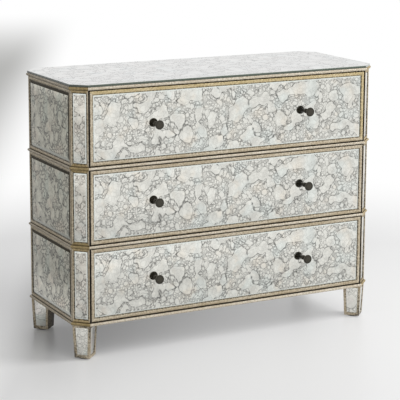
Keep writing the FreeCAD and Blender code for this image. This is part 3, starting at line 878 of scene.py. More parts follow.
def soften(piece: bpy.types.Object, width: float) -> None:
    """Round a piece's sharp edges a little.

    Args:
        piece: the piece.
        width: width of the rounding.
    """
    bevel = piece.modifiers.new("soft edges", "BEVEL")
    bevel.width = width
    bevel.segments = 2
    bevel.limit_method = "ANGLE"


def dress(node: str, finish: Finish) -> None:
    """Give a solid its finish, in place of the plain one that it came with.

    Args:
        node: the solid's name.
        finish: its finish.
    """
    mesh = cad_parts[node].data
    mesh.materials.clear()
    mesh.materials.append(finish.material())
    log.info("%s: %s", node, finish.name)


def band(count: int) -> Array:
    """Quads between two rings of points that are stored one after the other.

    Args:
        count: number of points in a ring.

    Returns:
        Rows of point here, next point, point above that and point above here.
    """
    here = np.arange(count)
    after = (here + 1) % count
    return np.stack([here, after, count + after, count + here], axis=-1)


def lathe(profile: Array, turns: int, dirt: Array) -> Surface:
    """Turn a profile about the Z axis.

    A point at radius r and height h goes to (r cos a, r sin a, h) for evenly spaced angles a.
    The first and last points of the profile lie on the axis, and each becomes one pole.

    Args:
        profile: rows of radius and height, from pole to pole.
        turns: number of angles.
        dirt: grime, wear and painted shade by row of the profile.

    Returns:
        The closed surface.
    """
    angle = np.linspace(0.0, 2.0 * np.pi, turns, endpoint=False)
    ring = profile[1:-1]
    rows = len(ring)
    radius, height = ring[:, :1], np.repeat(ring[:, 1:], turns, axis=1)
    grid = np.stack([radius * np.cos(angle), radius * np.sin(angle), height], axis=-1)
    poles = np.array([[0.0, 0.0, profile[0, 1]], [0.0, 0.0, profile[-1, 1]]])
    points = np.concatenate([grid.reshape(-1, 3), poles])
    quads = (band(turns) + np.arange(rows - 1)[:, None, None] * turns).reshape(-1, 4)
    here, after = band(turns)[:, :2].T
    top = (rows - 1) * turns
    low = np.stack([np.full(turns, rows * turns), after, here], axis=-1)
    high = np.stack([np.full(turns, rows * turns + 1), top + here, top + after], axis=-1)
    travel = np.concatenate([[0.0], np.cumsum(np.linalg.norm(np.diff(ring, axis=0), axis=1))])
    uv = np.stack([np.tile(angle, rows) * radius.mean(), np.repeat(travel, turns)], axis=-1)
    uv = np.concatenate([uv, [[0.0, 0.0], [0.0, travel[-1]]]])
    soiled = np.concatenate([np.repeat(dirt[1:-1], turns), dirt[[0, -1]]])
    faces = [*quads, *low, *high]
    return Surface(points, faces, uv, soiled, np.zeros(len(faces)))


@dataclass
class Section:
    """Closed outline of a bar: rows of (across, out), anticlockwise, and the grime and painted shade at each
    row.
    """

    rows: Array
    dirt: Array


@dataclass
class Bar:
    """A straight bar of constant section whose two ends are mitred.

    A section point (a, b) lies a along "across" and b along "out". The bar runs from "start"
    over "length", and each end is cut at a slant: it moves along the bar by a times its mitre.
    """

    start: Array
    along: Array
    across: Array
    out: Array
    length: float
    first_mitre: float
    last_mitre: float
    joint: float = 0.05 * MM

    def surface(self, section: Section, seed: float, leaf: Leaf) -> Surface:
        """Carry a closed section along the bar.

        Args:
            section: the outline that is carried.
            seed: start of the pattern along the bar.
            leaf: the bar's finish.

        Returns:
            The closed surface.
        """
        rows = section.rows
        count = len(rows)
        begin = self.joint + rows[:, 0] * self.first_mitre
        end = self.length - self.joint + rows[:, 0] * self.last_mitre
        travel = np.stack([begin, end])
        flat = rows[:, :1] * self.across + rows[:, 1:] * self.out
        points = (self.start + flat + travel[..., None] * self.along).reshape(-1, 3)
        here = np.arange(count)
        faces = [*band(count), here[::-1], count + here]
        if np.dot(np.cross(self.across, self.out), self.along) < 0:
            faces = [face[::-1] for face in faces]
        step = np.linalg.norm(np.diff(rows, axis=0, append=rows[:1]), axis=1)
        round_it = np.concatenate([[0.0], np.cumsum(step)[:-1]])
        uv = np.stack([travel.ravel() + seed, np.tile(round_it, 2) + seed], axis=-1)
        return Surface(points, faces, uv, np.tile(section.dirt, 2), np.full(len(faces), leaf))


@dataclass(frozen=True)
class Plane:
    """Where a flat piece lies: an origin, and directions along, up and out of it."""

    origin: Array
    along: Array
    up: Array
    out: Array

    def point(self, along: float, up: float, out: float = 0.0) -> Array:
        """A point given by its distances along, up and out."""
        return self.origin + self.along * along + self.up * up + self.out * out

    def sunk(self, depth: float) -> "Plane":
        """The same plane, moved in by a depth."""
        return replace(self, origin=self.point(0.0, 0.0, -depth))


def inset(outline: Array, distance: float) -> Array:
    """Move a convex outline inwards.

    Each corner goes along the sum of its two edges' inward normals, so that both edges move in
    by the same distance.

    Args:
        outline: corners, anticlockwise.
        distance: how far the edges move in; out if it is negative.

    Returns:
        The moved corners.
    """
    edge = np.roll(outline, -1, axis=0) - outline
    edge = edge / np.linalg.norm(edge, axis=1, keepdims=True)
    normal = np.stack([-edge[:, 1], edge[:, 0]], axis=-1)
    before = np.roll(normal, 1, axis=0)
    share = 1.0 + np.sum(normal * before, axis=1, keepdims=True)
    return outline + distance * (normal + before) / share


@dataclass(frozen=True)
class Plate:
    """Glass plate with a ground bevel round its face.

    Its three rims are the outline at the back, the same outline where the bevel begins, and
    the outline moved inwards by the bevel's width at the face.
    """

    thickness: float
    bevel: float
    drop: float

    def surface(
        self, outline: Array, plane: Plane, shift: tuple[float, float], bevels: Sequence[Glass] = ()
    ) -> Surface:
        """Make the plate.

        Args:
            outline: corners along and up the plane, anticlockwise as seen from its face.
            plane: plane of the plate's back.
            shift: start of the pattern along and up.
            bevels: which bevel each edge has; all plain ones if left out.

        Returns:
            The closed plate, its slots numbered by Glass.
        """
        count = len(outline)
        face = inset(outline, self.bevel)
        rims = [(outline, 0.0), (outline, self.thickness - self.drop), (face, self.thickness)]
        flat = np.concatenate([rim for rim, _ in rims])
        depth = np.repeat([level for _, level in rims], count)[:, None]
        points = plane.origin + flat[:, :1] * plane.along + flat[:, 1:] * plane.up + depth * plane.out
        here = np.arange(count)
        faces = [*band(count), *(band(count) + count), 2 * count + here, here[::-1]]
        slots = [Glass.EDGE] * count + list(bevels or [Glass.BEVEL] * count) + [Glass.FACE, Glass.EDGE]
        return Surface(points, faces, flat + shift, np.zeros(len(points)), np.array(slots))


# ---------------------------------------------------------------- studio


@dataclass
class Studio:
    """Pale floor, soft light and the camera."""

    camera_place: Triple = (-2.2328, -4.1821, 1.467)
    camera_heading: float = 0.48735
    camera_dip: float = 0.18273
    camera_roll: float = -0.00435
    focal_length: float = 138.918
    rise: float = -0.15
    sensor: float = 36.0
    lamp_aim: Triple = (0.0, 0.0, 0.4)
    floor_reach: float = 40.0
    floor_left: Triple = (-0.9, 0.44, 0.0)
    sky_left: Triple = (-0.95, 0.3, 0.0)

    def build(self) -> None:
        """Put everything in place."""
        self.camera()
        self.floor()
        self.world()
        self.lamp("key", place=(2.6, -1.5, 2.7), size=(1.6, 1.6), power=95.0)
        self.lamp("fill", place=(0.6, -3.4, 2.8), size=(2.5, 2.0), power=38.0)

    def camera(self) -> None:
        """The camera, its lens lowered a little so that upright edges stay nearly parallel."""
        data = bpy.data.cameras.new("camera")
        data.lens = self.focal_length
        data.sensor_width = self.sensor
        data.shift_y = self.rise
        camera = bpy.data.objects.new("camera", data)
        camera.location = self.camera_place
        tilt = math.pi / 2 - self.camera_dip
        camera.rotation_euler = Euler((tilt, self.camera_roll, -self.camera_heading))
        bpy.context.scene.collection.objects.link(camera)
        bpy.context.scene.camera = camera

    def lamp(self, name: str, place: Triple, size: tuple[float, float], power: float) -> None:
        """Add a soft rectangular lamp that faces the chest and that mirrors don't show.

        Args:
            name: its name.
            place: where it hangs.
            size: its width and height.
            power: its power in watts.
        """
        data = bpy.data.lights.new(name, "AREA")
        data.shape = "RECTANGLE"
        data.size, data.size_y = size
        data.energy = power
        lamp = bpy.data.objects.new(name, data)
        lamp.location = place
        lamp.rotation_euler = (Vector(self.lamp_aim) - lamp.location).to_track_quat("-Z", "Y").to_euler()
        lamp.visible_glossy = False
        bpy.context.scene.collection.objects.link(lamp)

    def floor(self) -> None:
        """A wide pale floor that fades to white far away and keeps the chest's shadow near it."""
        reach = self.floor_reach
        mesh = bpy.data.meshes.new("floor")
        corners = [(-reach, -reach, 0.0), (reach, -reach, 0.0), (reach, reach, 0.0), (-reach, reach, 0.0)]
        mesh.from_pydata(corners, [], [(0, 1, 2, 3)])
        mesh.materials.append(self.floor_material())
        floor = bpy.data.objects.new("floor", mesh)
        bpy.context.scene.collection.objects.link(floor)

    def floor_material(self) -> bpy.types.Material:
        """Work out the floor's finish.

        It is greyer far to the left and behind, up to a distance: painted shade, for the side
        mirrors to reflect. A share of it glows by itself, and so takes no shadow: more of it far
        away, to the right and in front, and well to the left; near the chest that glow is painted
        light that lightens its shadow.

        Returns:
            The material.
        """
        material = bpy.data.materials.new("floor")
        graph = blank(material)
        place = graph.add("ShaderNodeTexCoord").outputs["Object"]
        distance = graph.vector("LENGTH", place)
        leftwards = graph.vector("DOT_PRODUCT", place, self.floor_left)
        behind = graph.vector("DOT_PRODUCT", place, (0.0, 1.0, 0.0))
        # painted shade: the floor is greyer to the left and behind, for the side mirrors to reflect
        left_end = graph.between(leftwards, 0.75, 1.2)
        shade = graph.math("MULTIPLY", left_end, graph.between(behind, -0.4, 0.5, 0.4, 1.0))
        shade = graph.math("MULTIPLY", shade, graph.between(distance, 5.8, 10.0, 1.0, 0.0))
        near = graph.mix(shade, (0.80, 0.80, 0.80), (0.53, 0.53, 0.52))
        far = graph.mix(shade, ONES, (0.47, 0.47, 0.46))
        matt = {"Base Color": near, "Roughness": 0.35, "Specular IOR Level": 0.3}
        surface = graph.add("ShaderNodeBsdfPrincipled", matt)
        glow = graph.add("ShaderNodeEmission", {"Color": far, "Strength": 1.0})
        # painted light: the glow also lightens the chest's shadow in front, to the right and in a patch to
        # its left
        lift = graph.between(graph.math("ADD", leftwards, behind), -0.3, 0.6, 0.36, 0.08)
        lift = graph.math("MAXIMUM", lift, graph.between(leftwards, 0.46, 0.66, 0.0, 0.38))
        lift = graph.math("MAXIMUM", lift, graph.between(distance, 0.5, 2.4))
        fade = graph.math("MULTIPLY", self.seen(graph), lift)
        mixed = graph.add("ShaderNodeMixShader", {0: fade, 1: surface.outputs[0], 2: glow.outputs[0]})
        graph.add("ShaderNodeOutputMaterial", {"Surface": mixed.outputs[0]})
        return material

    def seen(self, graph: Graph) -> Socket:
        """Tell rays for the eye from rays that only carry light.

        Args:
            graph: the graph to work in.

        Returns:
            1 for rays that come from the camera or from a mirror or glass, else 0.
        """
        path = graph.add("ShaderNodeLightPath").outputs
        either = graph.math("MAXIMUM", path["Is Camera Ray"], path["Is Glossy Ray"])
        return graph.math("MAXIMUM", either, path["Is Transmission Ray"])

    def world(self) -> None:
        """White all round for the eye and for mirrors, a plain light that is dimmer from the left."""
        world = bpy.data.worlds.new("studio")
        bpy.context.scene.world = world
        graph = blank(world)
        direction = graph.add("ShaderNodeTexCoord").outputs["Generated"]
        leftwards = graph.vector("DOT_PRODUCT", direction, self.sky_left)
        light = graph.between(leftwards, -0.1, 0.75, 0.36, 0.15)
        strength = graph.between(self.seen(graph), 0.0, 1.0, light, 1.0)
        sky = graph.add("ShaderNodeBackground", {"Color": ONES, "Strength": strength})
        graph.add("ShaderNodeOutputWorld", {"Surface": sky.outputs[0]})


# ---------------------------------------------------------------- the chest's pieces


class Side(Enum):
    """The case's faces by their place in its plan."""

    FRONT = 0
    FRONT_RIGHT = 1
    RIGHT = 2
    REAR_RIGHT = 3
    REAR_LEFT = 5
    LEFT = 6
    FRONT_LEFT = 7


def turned(direction: Array) -> Array:
    """A level direction turned a quarter of a turn anticlockwise, as seen from above."""
    return np.array([-direction[1], direction[0], 0.0])


@dataclass(frozen=True)
class Case:
    """Plan and levels of the case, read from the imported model.

    In plan it is a rectangle with its four corners cut off at 45 degrees.
    """

    cant: float = 40.0 * MM
    overhang: float = 2.0 * MM

    def corners(self) -> Array:
        """Work out the plan corners of the gilded frames' outer sides.

        Returns:
            The corners, anticlockwise from the front's left end.
        """
        low, high = (np.array(corner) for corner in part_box("glass_top"))
        x0, y0 = (low + self.overhang)[:2]
        x1, y1 = (high - self.overhang)[:2]
        c = self.cant
        front = [(x0 + c, y0), (x1 - c, y0), (x1, y0 + c)]
        rear = [(x1, y1 - c), (x1 - c, y1), (x0 + c, y1), (x0, y1 - c), (x0, y0 + c)]
        return np.array([(x, y, 0.0) for x, y in front + rear])

    def wall(self, side: Side) -> tuple[Plane, float]:
        """Find one face of the case.

        Args:
            side: which face.

        Returns:
            Its plane, from the foot of its left edge, and its width.
        """
        plan = self.corners()
        start, end = plan[side.value], plan[(side.value + 1) % len(plan)]
        width = np.linalg.norm(end - start)
        along = (end - start) / width
        return Plane(start, along, UP, -turned(along)), width

    def tier(self, number: int) -> tuple[float, float]:
        """Floor and ceiling of one tier, between the mouldings below and above it."""
        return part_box(MOULDINGS[number])[1].z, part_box(MOULDINGS[number + 1])[0].z


@dataclass(frozen=True)
class Moulding:
    """Half-round moulding with a narrow quirk above and below its bead.

    In a moulding of height h the bead's section is a half ellipse: at angle t it stands
    h/2 sin t out of the wall, at a height of h/2 - (h/2 - quirk) cos t above its foot.
    """

    quirk: float = 0.35 * MM
    steps: int = 17
    # sine of the angle from which the bead is free of dark glazing and painted shade
    clean: float = 0.75
    seed_step: float = 1.7

    def section(self, height: float) -> Section:
        """Outline of the moulding: a flat back in the wall and the bead in front of it.

        Args:
            height: height of the moulding.

        Returns:
            The outline, and its grime and painted shade.
        """
        turn = np.linspace(0.0, np.pi, self.steps)
        radius = height / 2 - self.quirk
        bead = np.stack([height / 2 * np.sin(turn), height / 2 - radius * np.cos(turn)], axis=-1)
        rows = np.concatenate([[(-SKIN, 0.0), (0.0, 0.0)], bead, [(0.0, height), (-SKIN, height)]])
        # painted shade with glazing: the bead darkens towards both quirks, where it meets the wall, and on
        # its back
        soil_and_shade = np.clip(1.0 - np.sin(turn) / self.clean, 0.0, 1.0)
        return Section(rows, np.concatenate([[1.0, 1.0], soil_and_shade, [1.0, 1.0]]))

    def surface(self, case: Case, low: float, high: float) -> Surface:
        """Make seven mitred lengths round all sides but the back.

        Args:
            case: the case that they go round.
            low: height of their foot.
            high: height of their top.

        Returns:
            The lengths as one mesh.
        """
        section = self.section(high - low)
        # the front lengths take the leaf in painted light, the sides and corners copies in painted shade
        leaves = {Side.FRONT: Leaf.MAIN, Side.LEFT: Leaf.SIDE, Side.RIGHT: Leaf.SIDE}
        bars = []
        for side in Side:
            plane, width = case.wall(side)
            first = 1.0 if side is Side.REAR_LEFT else -CORNER_MITRE
            last = -1.0 if side is Side.REAR_RIGHT else CORNER_MITRE
            bar = Bar(plane.point(0.0, low), plane.along, plane.out, UP, width, first, last)
            leaf = leaves.get(side, Leaf.OTHER)
            bars.append(bar.surface(section, side.value * self.seed_step + low, leaf))
        return gather(bars)


@dataclass(frozen=True)
class Look:
    """How one panel's pattern starts, and the finishes of its bevels and of its frame's lengths.

    The tucks are how far the backs of the frame's left and right edges lie inside their faces.
    The leaves are those of its low and high rails and of its left and right stiles.
    """

    seed: float
    shift: tuple[float, float]
    tucks: tuple[float, float] = (0.0, 0.0)
    bevels: tuple[Glass, ...] = ()
    leaves: tuple[Leaf, ...] = (Leaf.MAIN, Leaf.MAIN, Leaf.MAIN, Leaf.MAIN)


@dataclass(frozen=True)
class Frame:
    """Gilded picture frame of four mitred lengths, with a lip round the plate.

    The crown of each length falls away from its middle line by fall * |t| ** roundness, where
    t is the distance from that line as a share of half the crown's width. Dark glazing gathers on
    the crown from the "clean" share outwards, and in the lip; it is partly painted shade, strongest on the
    outer edges beside the gaps.
    """

    stile: float
    rail: float
    fall: float = 1.1 * MM
    roundness: float = 2.4
    shoulder: float = 0.3 * MM
    lip: float = 2.5 * MM
    lip_drop: float = 1.4 * MM
    lip_slope: float = 0.4 * MM
    steps: int = 11
    clean: float = 0.5
    # painted shade: how strongly dark glazing lies on the crown's edge beside the lip, and on the outer
    # edges of rails and stiles
    lip_edge_shade: float = 0.7
    rail_edge_shade: float = 0.4
    stile_edge_shade: float = 2.2
    lip_soil_and_shade: tuple[float, float, float, float] = (1.0, 0.9, 0.68, 0.72)
    seed_step: float = 0.37

    def section(self, width: float, tuck: float, edge_shade: float) -> Section:
        """Outline of one length, from its outer side to its lip.

        Args:
            width: width of the length.
            tuck: how far the back of its outer edge lies inside its face.
            edge_shade: how strongly its outer edge is darkened, as painted shade.

        Returns:
            The outline, and its grime and painted shade.
        """
        crown_width = width - self.lip
        share = np.linspace(1.0, -1.0, self.steps)
        level = SKIN - self.fall * np.abs(share) ** self.roundness
        crown = np.stack([crown_width * (share + 1) / 2, level], axis=-1)
        lip = SKIN - self.lip_drop
        inner = [(tuck, 0.0), (width, 0.0), (width, lip - self.lip_slope), (crown_width, lip)]
        outer = [(0.0, SKIN - self.fall - self.shoulder)]
        edge = np.clip((np.abs(share) - self.clean) / (1.0 - self.clean), 0.0, 1.0)
        soil_and_shade = np.clip(edge * np.where(share > 0, self.lip_edge_shade, edge_shade), 0.0, 1.0)
        return Section(np.concatenate([inner, crown, outer]), np.concatenate([self.lip_soil_and_shade, soil_and_shade, [1.0]]))

    def surface(self, plane: Plane, box: Limits, look: Look) -> Surface:
        """Make the frame's four lengths.

        Args:
            plane: plane of the frame's face.
            box: its limits in that plane.
            look: start of the pattern, tucks of the upright edges and finishes of the lengths.

        Returns:
            The four lengths as one mesh.
        """
        left, right, low, high = box
        foot, head, far = (plane.point(x, z, -SKIN) for x, z in ((left, low), (left, high), (right, low)))
        wide, tall = right - left, high - low
        slant = self.stile / self.rail
        rails = (wide, slant, self.rail, self.rail_edge_shade)
        stiles = (tall, 1 / slant, self.stile, self.stile_edge_shade)
        lengths = [
            (foot, plane.along, plane.up, 0.0, *rails),
            (head, plane.along, -plane.up, 0.0, *rails),
            (foot, plane.up, plane.along, look.tucks[0], *stiles),
            (far, plane.up, -plane.along, look.tucks[1], *stiles),
        ]
        bars = []
        for number, (start, along, across, tuck, length, mitre, width, edge_shade) in enumerate(lengths):
            bar = Bar(start, along, across, plane.out, length, mitre, -mitre)
            section = self.section(width, tuck, edge_shade)
            bars.append(bar.surface(section, look.seed + self.seed_step * number, look.leaves[number]))
        return gather(bars)

    def sight(self, box: Limits, gap: float) -> Array:
        """Find where the plate lies inside the frame.

        Args:
            box: the frame's limits.
            gap: gap between the frame and the plate.

        Returns:
            The plate's corners.
        """
        left, right, low, high = box
        x0, x1 = left + self.stile + gap, right - self.stile - gap
        z0, z1 = low + self.rail + gap, high - self.rail - gap
        return np.array([(x0, z0), (x1, z0), (x1, z1), (x0, z1)])


@dataclass(frozen=True)
class Skin:
    """Frames and mirror plates on the case and on the drawers."""

    case: Case
    gap: float = 0.2 * MM
    drawer_frame: Frame = Frame(12.0 * MM, 12.0 * MM)
    # the side frames are darkened strongly along their outer edges, as painted shade
    side_frame: Frame = Frame(11.0 * MM, 11.0 * MM, rail_edge_shade=2.2, stile_edge_shade=1.2)
    cant_frame: Frame = Frame(8.0 * MM, 10.0 * MM)
    plate: Plate = Plate(4.0 * MM, 3.0 * MM, 1.0 * MM)
    side_plate: Plate = Plate(4.0 * MM, 8.5 * MM, 1.3 * MM)
    # height in the print at which each tier begins
    print_foot: float = 0.3
    seed_step: float = 3.1

    def panel(
        self, side: Side, box: Limits, kind: Frame, plate: Plate, look: Look
    ) -> tuple[Surface, Surface]:
        """Make one frame and its plate on one face of the case.

        Args:
            side: the face.
            box: the frame's limits on it.
            kind: the frame.
            plate: the plate.
            look: their finishes and the start of their patterns.

        Returns:
            The frame and the plate.
        """
        plane, _ = self.case.wall(side)
        bars = kind.surface(plane, box, look)
        sight = kind.sight(box, self.gap)
        return bars, plate.surface(sight, plane.sunk(SKIN), look.shift, look.bevels)

    def drawers(self) -> None:
        """Frames and plates of the three drawers, all with the same print."""
        plane, _ = self.case.wall(Side.FRONT)
        left = plane.origin[0]
        for number, tier in enumerate(TIERS):
            body = f"{tier}_drawer"
            low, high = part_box(f"{body}_frame")
            box = (low.x - left, high.x - left, low.z, high.z)
            # the upper drawer's top rail and right stile take the leaf in painted light
            leaf = Leaf.OTHER if tier == "upper" else Leaf.MAIN
            shift = (-box[0], self.print_foot - low.z)
            look = Look(self.seed_step * number, shift, leaves=(Leaf.MAIN, leaf, Leaf.MAIN, leaf))
            bars, plate = self.panel(Side.FRONT, box, self.drawer_frame, self.plate, look)
            put(f"{tier}_frame", bars, body, FRAME_FINISHES, "gilt_wood", f"{body}_frame")
            put(f"{tier}_plate", plate, body, PLATE_FINISHES, "antique_mirror", f"{body}_mirror")

    def looks(self) -> dict[Side, Look]:
        """Say how each side and each canted corner looks.

        Returns:
            The look of each; its shift is the start of the print along it.
        """
        tuck = SKIN * CORNER_MITRE
        # the sides' top and front bevels take the shaded bevel: painted reflection of dark surroundings
        plain, dark = Glass.BEVEL, Glass.SHADED
        # the cants' rails take the leaf in painted shade
        canted = (Leaf.OTHER, Leaf.OTHER, Leaf.MAIN, Leaf.MAIN)
        return {
            Side.RIGHT: Look(4.0, (5.0, 0.0), (tuck, tuck), (plain, plain, dark, dark)),
            Side.LEFT: Look(7.0, (7.0, 0.0), (tuck, tuck), (plain, dark, dark, plain)),
            Side.FRONT_RIGHT: Look(11.0, (9.0, 0.0), (SKIN, tuck), leaves=canted),
            Side.FRONT_LEFT: Look(13.0, (11.33, 0.0), (tuck, SKIN), leaves=canted),
            Side.REAR_RIGHT: Look(17.0, (13.0, 0.0), (tuck, SKIN), leaves=canted),
            Side.REAR_LEFT: Look(19.0, (15.0, 0.0), (SKIN, tuck), leaves=canted),
        }

    def wall(self, side: Side, look: Look) -> tuple[Surface, Surface]:
        """Make the frames and plates of one side or corner, one of each for each tier.

        Args:
            side: the side or corner.
            look: its look.

        Returns:
            The frames as one mesh, and the plates.
        """
        _, width = self.case.wall(side)
        wide = side in (Side.RIGHT, Side.LEFT)
        kind, plate = (self.side_frame, self.side_plate) if wide else (self.cant_frame, self.plate)
        made = []
        for number in range(len(TIERS)):
            low, high = self.case.tier(number)
            here = replace(look, seed=look.seed + number, shift=(look.shift[0], self.print_foot - low))
            made.append(self.panel(side, (0.0, width, low, high), kind, plate, here))
        bars, plates = zip(*made)
        return gather(bars), gather(plates)

    def sides(self) -> None:
        """Frames and plates of the two sides and the four canted corners."""
        made = {side: self.wall(side, look) for side, look in self.looks().items()}
        for side in (Side.RIGHT, Side.LEFT):
            bars, plates = made[side]
            word = side.name.lower()
            mirrors = f"{word}_side_mirrors"
            put(f"{word}_frames", bars, "case", FRAME_FINISHES, "gilt_wood", f"{word}_side_frames")
            put(f"{word}_plates", plates, "case", SIDE_PLATE_FINISHES, "antique_mirror", mirrors)
        for end in ("front", "rear"):
            corners = [side for side in made if side.name.lower().startswith(end)]
            pair = {side.name.lower(): made[side] for side in corners}
            for word, (bars, _) in pair.items():
                name = f"{word}_cant_bars"
                put(name, bars, "case", CANT_FRAME_FINISHES, "gilt_wood", f"{word}_cant_frames")
            both = gather([plates for _, plates in pair.values()])
            mirrors = f"{end}_cant_mirrors"
            put(f"{end}_cant_plates", both, "case", CANT_PLATE_FINISHES, "antique_mirror", mirrors)


@dataclass(frozen=True)
class Top:
    """Glass top with a ground arris."""

    plate: Plate = Plate(6.0 * MM, 0.8 * MM, 0.8 * MM)
    print_start: tuple[float, float] = (2.0, 2.0)

    def build(self, case: Case) -> None:
        """Make the top from the case's plan, moved out by its overhang.

        Args:
            case: the case.
        """
        low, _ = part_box("glass_top")
        outline = inset(case.corners()[:, :2], -case.overhang)
        across, back, _ = np.eye(3)
        surface = self.plate.surface(outline, Plane(UP * low.z, across, back, UP), self.print_start)
        put("top_plate", surface, "case", TOP_FINISHES, "top_mirror", "glass_top")


@dataclass(frozen=True)
class Leg:
    """Square tapered leg turned 45 degrees, with sunk plates on three of its faces.

    A point of a face lies "slope" up along it from the foot and "across" to the right. The
    face's half width there is half the foot plus the taper times slope over the slope's length.
    """

    top: float = 40.0 * math.sqrt(2) * MM
    foot: float = 48.0 * MM
    border: float = 8.0 * MM
    head_border: float = 7.0 * MM
    foot_border: float = 9.0 * MM
    sink: float = 4.0 * MM
    fit: float = 0.05 * MM
    plate: Plate = Plate(3.0 * MM, 1.2 * MM, 0.6 * MM)
    # glazing and painted shade at the rim of a face, round its panel and in the panel's sunk corner, and on
    # the two ends
    soil_and_shade: Triple = (0.35, 0.54, 1.0)
    end_soil_and_shade: float = 0.8
    print_start: float = 17.0
    print_step: float = 0.31
    print_rise: float = 0.05

    @property
    def taper(self) -> float:
        """How much further out than its foot a face is at its top."""
        return (self.top - self.foot) / 2

    def face(self, centre: Array, out: Array, height: float) -> Plane:
        """Find the sloping plane of one face.

        Args:
            centre: middle of the leg's underside.
            out: level direction in which the face looks.
            height: height of the wood.

        Returns:
            The plane, from the middle of its lower edge.
        """
        length = math.hypot(self.taper, height)
        slope = (out * self.taper + UP * height) / length
        normal = (out * height - UP * self.taper) / length
        return Plane(centre + out * self.foot / 2, turned(out), slope, normal)

    def half_width(self, slope: float, height: float) -> float:
        """Half the face's width at a distance up its slope."""
        return self.foot / 2 + self.taper * slope / math.hypot(self.taper, height)

    def outline(self, height: float) -> Array:
        """Work out the sunk panel.

        Args:
            height: height of the wood.

        Returns:
            The panel's corners, anticlockwise as seen from outside.
        """
        low = self.foot_border
        high = math.hypot(self.taper, height) - self.head_border
        wide_low = self.half_width(low, height) - self.border
        wide_high = self.half_width(high, height) - self.border
        return np.array([(-wide_low, low), (wide_low, low), (wide_high, high), (-wide_high, high)])

    def surfaces(self, centre: Array, out: Array, height: float, seed: float) -> tuple[Surface, Surface]:
        """Make the leg's wood and its three plates. The face towards the case's middle has no plate, and its
        leaf is darkened as painted shade.

        Args:
            centre: middle of the leg's underside.
            out: level direction away from the case.
            height: height of the wood.
            seed: start of the pattern.

        Returns:
            The wood as one closed surface, and the plates.
        """
        slope = math.hypot(self.taper, height)
        rim = np.array([(-self.foot, 0), (self.foot, 0), (self.top, 2 * slope), (-self.top, 2 * slope)]) / 2
        panel = self.outline(height)
        wood, plates = [], []
        for number, direction in enumerate((out, turned(out), -out, -turned(out))):
            plane = self.face(centre, direction, height)
            if direction @ out < -0.5:
                # the inner face takes the leaf in painted shade
                wood.append(self.patch(plane, [(rim, 0.0)], seed + number, Leaf.OTHER))
                continue
            rims = [(rim, 0.0), (panel, 0.0), (panel, self.sink)]
            wood.append(self.patch(plane, rims, seed + number, Leaf.MAIN))
            shift = (self.print_start + seed + number * self.print_step, self.print_rise * number)
            plates.append(self.plate.surface(inset(panel, self.fit), plane.sunk(self.sink), shift))
        wood.append(self.cap(centre, out, self.foot / 2, 0.0, seed))
        wood.append(self.cap(centre, out, self.top / 2, height, seed))
        return gather(wood), gather(plates)

    def patch(self, plane: Plane, rims: Sequence[tuple[Array, float]], seed: float, leaf: Leaf) -> Surface:
        """Make one face of the leg: rims joined by quads, the last one filled.

        Args:
            plane: plane of the face.
            rims: closed outlines with the depth of each below the face.
            seed: start of the pattern.
            leaf: the face's finish.

        Returns:
            The face as an open surface.
        """
        count = len(rims[0][0])
        flat = np.concatenate([rim for rim, _ in rims])
        depth = np.repeat([level for _, level in rims], count)[:, None]
        points = plane.origin + flat[:, :1] * plane.along + flat[:, 1:] * plane.up - depth * plane.out
        last = count * (len(rims) - 1)
        faces = [face for start in range(0, last, count) for face in band(count) + start]
        faces.append(last + np.arange(count))
        dirt = np.repeat(self.soil_and_shade[: len(rims)], count)
        return Surface(points, faces, flat + (seed, seed), dirt, np.full(len(faces), leaf))

    def cap(self, centre: Array, out: Array, half: float, level: float, seed: float) -> Surface:
        """Make a square end of the leg, facing down at its foot and up at its head.

        Args:
            centre: middle of the leg's underside.
            out: level direction away from the case.
            half: half the end's width.
            level: its height above the underside.
            seed: start of the pattern.

        Returns:
            The end as an open surface.
        """
        side = turned(out)
        square = np.array([(1, -1), (1, 1), (-1, 1), (-1, -1)]) * half
        points = centre + square[:, :1] * out + square[:, 1:] * side + UP * level
        face = np.arange(4) if level > 0 else np.arange(4)[::-1]
        return Surface(points, [face], square + (seed, seed), np.full(4, self.end_soil_and_shade), np.zeros(1))


@dataclass(frozen=True)
class Legs:
    """The four legs below the canted corners."""

    leg: Leg = Leg()
    edge: float = 0.6 * MM
    first_seed: float = 23.0

    def build(self) -> None:
        """Make each leg where its solid stands, and gather all plates in one piece."""
        plates = []
        places = [(end, side) for end in ("front", "rear") for side in ("right", "left")]
        for number, (end, side) in enumerate(places):
            node = f"{end}_{side}_leg"
            low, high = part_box(node)
            centre = np.array([(low.x + high.x) / 2, (low.y + high.y) / 2, low.z])
            away = np.array([1.0 if side == "right" else -1.0, -1.0 if end == "front" else 1.0, 0.0])
            out = away / math.sqrt(2)
            wood, inlay = self.leg.surfaces(centre, out, high.z - low.z, self.first_seed + number)
            piece = put(f"{end}_{side}_post", wood, "case", POST_FINISHES, "gilt_wood", node)
            soften(piece, self.edge)
            plates.append(inlay)
        put("leg_plates", gather(plates), "case", LEG_PLATE_FINISHES, "antique_mirror", "leg_mirrors")


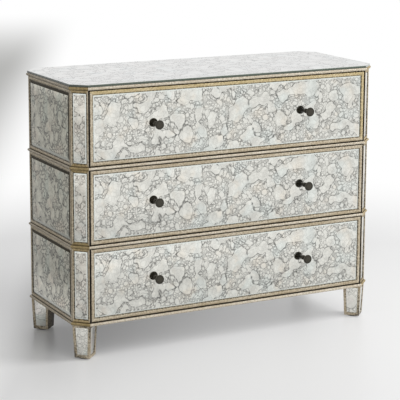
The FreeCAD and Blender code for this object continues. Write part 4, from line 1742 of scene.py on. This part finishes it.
@dataclass(frozen=True)
class Knob:
    """A turned knob with a flat, softly edged face, on a small rosette."""

    radius: float = 14.0 * MM
    turns: int = 48

    def section(self, height: float) -> tuple[Array, Array]:
        """Profile and wear, as shares of the radius and the height.

        Args:
            height: height of the knob above its plate.

        Returns:
            Rows of radius and height from the plate to the crown, and wear for each row.
        """
        rows = np.array([
            [0.00, 0.000, 0.0], [0.50, 0.000, 0.0], [0.53, 0.020, 0.2], [0.53, 0.060, 0.7],
            [0.49, 0.088, 0.4], [0.42, 0.100, 0.0], [0.40, 0.120, 0.2], [0.34, 0.150, 0.1],
            [0.30, 0.210, 0.0], [0.29, 0.400, 0.0], [0.31, 0.560, 0.0], [0.40, 0.640, 0.0],
            [0.66, 0.715, 0.1], [0.88, 0.770, 0.2], [0.97, 0.810, 0.5], [1.00, 0.860, 0.6],
            [1.00, 0.905, 0.6], [0.98, 0.945, 0.7], [0.94, 0.968, 0.5], [0.90, 0.966, 0.0],
            [0.86, 0.968, 0.1], [0.60, 0.986, 0.3], [0.28, 0.997, 0.35], [0.00, 1.000, 0.35],
        ])
        return rows[:, :2] * (self.radius, height), rows[:, 2]

    def surface(self, foot: Array, height: float) -> Surface:
        """Make the knob, its foot on the mirror plate and its crown towards the front.

        Args:
            foot: middle of its foot.
            height: height of the knob above its plate.

        Returns:
            The closed surface.
        """
        profile, wear = self.section(height)
        made = lathe(profile, self.turns, wear)
        x, y, z = made.points.T
        made.points = np.stack([foot[0] + x, foot[1] - z, foot[2] + y], axis=-1)
        return made


@dataclass(frozen=True)
class Chest:
    """The whole chest, piece by piece."""

    case: Case = Case()
    top: Top = Top()
    moulding: Moulding = Moulding()
    legs: Legs = Legs()
    knob: Knob = Knob()

    def build(self) -> None:
        """Make and dress every piece."""
        self.top.build(self.case)
        for node in MOULDINGS:
            low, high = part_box(node)
            bars = self.moulding.surface(self.case, low.z, high.z)
            put(f"{node}_bars", bars, "case", MOULDING_FINISHES, "gilt_wood", node)
        skin = Skin(self.case)
        skin.drawers()
        skin.sides()
        self.legs.build()
        self.knobs()
        self.solids()

    def knobs(self) -> None:
        """The six knobs, in the places of their solids."""
        for tier in TIERS:
            node = f"{tier}_drawer_knobs"
            low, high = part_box(node)
            middle = (low.z + high.z) / 2
            feet = [(x, high.y, middle) for x in (low.x + self.knob.radius, high.x - self.knob.radius)]
            parts = [self.knob.surface(np.array(foot), high.y - low.y) for foot in feet]
            put(f"{tier}_knobs", gather(parts), f"{tier}_drawer", [BRONZE], "knob_bronze", node)

    def solids(self) -> None:
        """Finishes of the pieces that keep their solids."""
        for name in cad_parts:
            finish = next((finish for word, finish in SOLID_FINISHES.items() if word in name), None)
            if finish:
                dress(name, finish)


def main() -> None:
    """Build the studio and the chest."""
    logging.basicConfig(level=logging.INFO, format="%(message)s")
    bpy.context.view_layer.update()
    Studio().build()
    Chest().build()
    bpy.context.scene.view_settings.view_transform = "Standard"


if __name__ == "__main__":
    main()
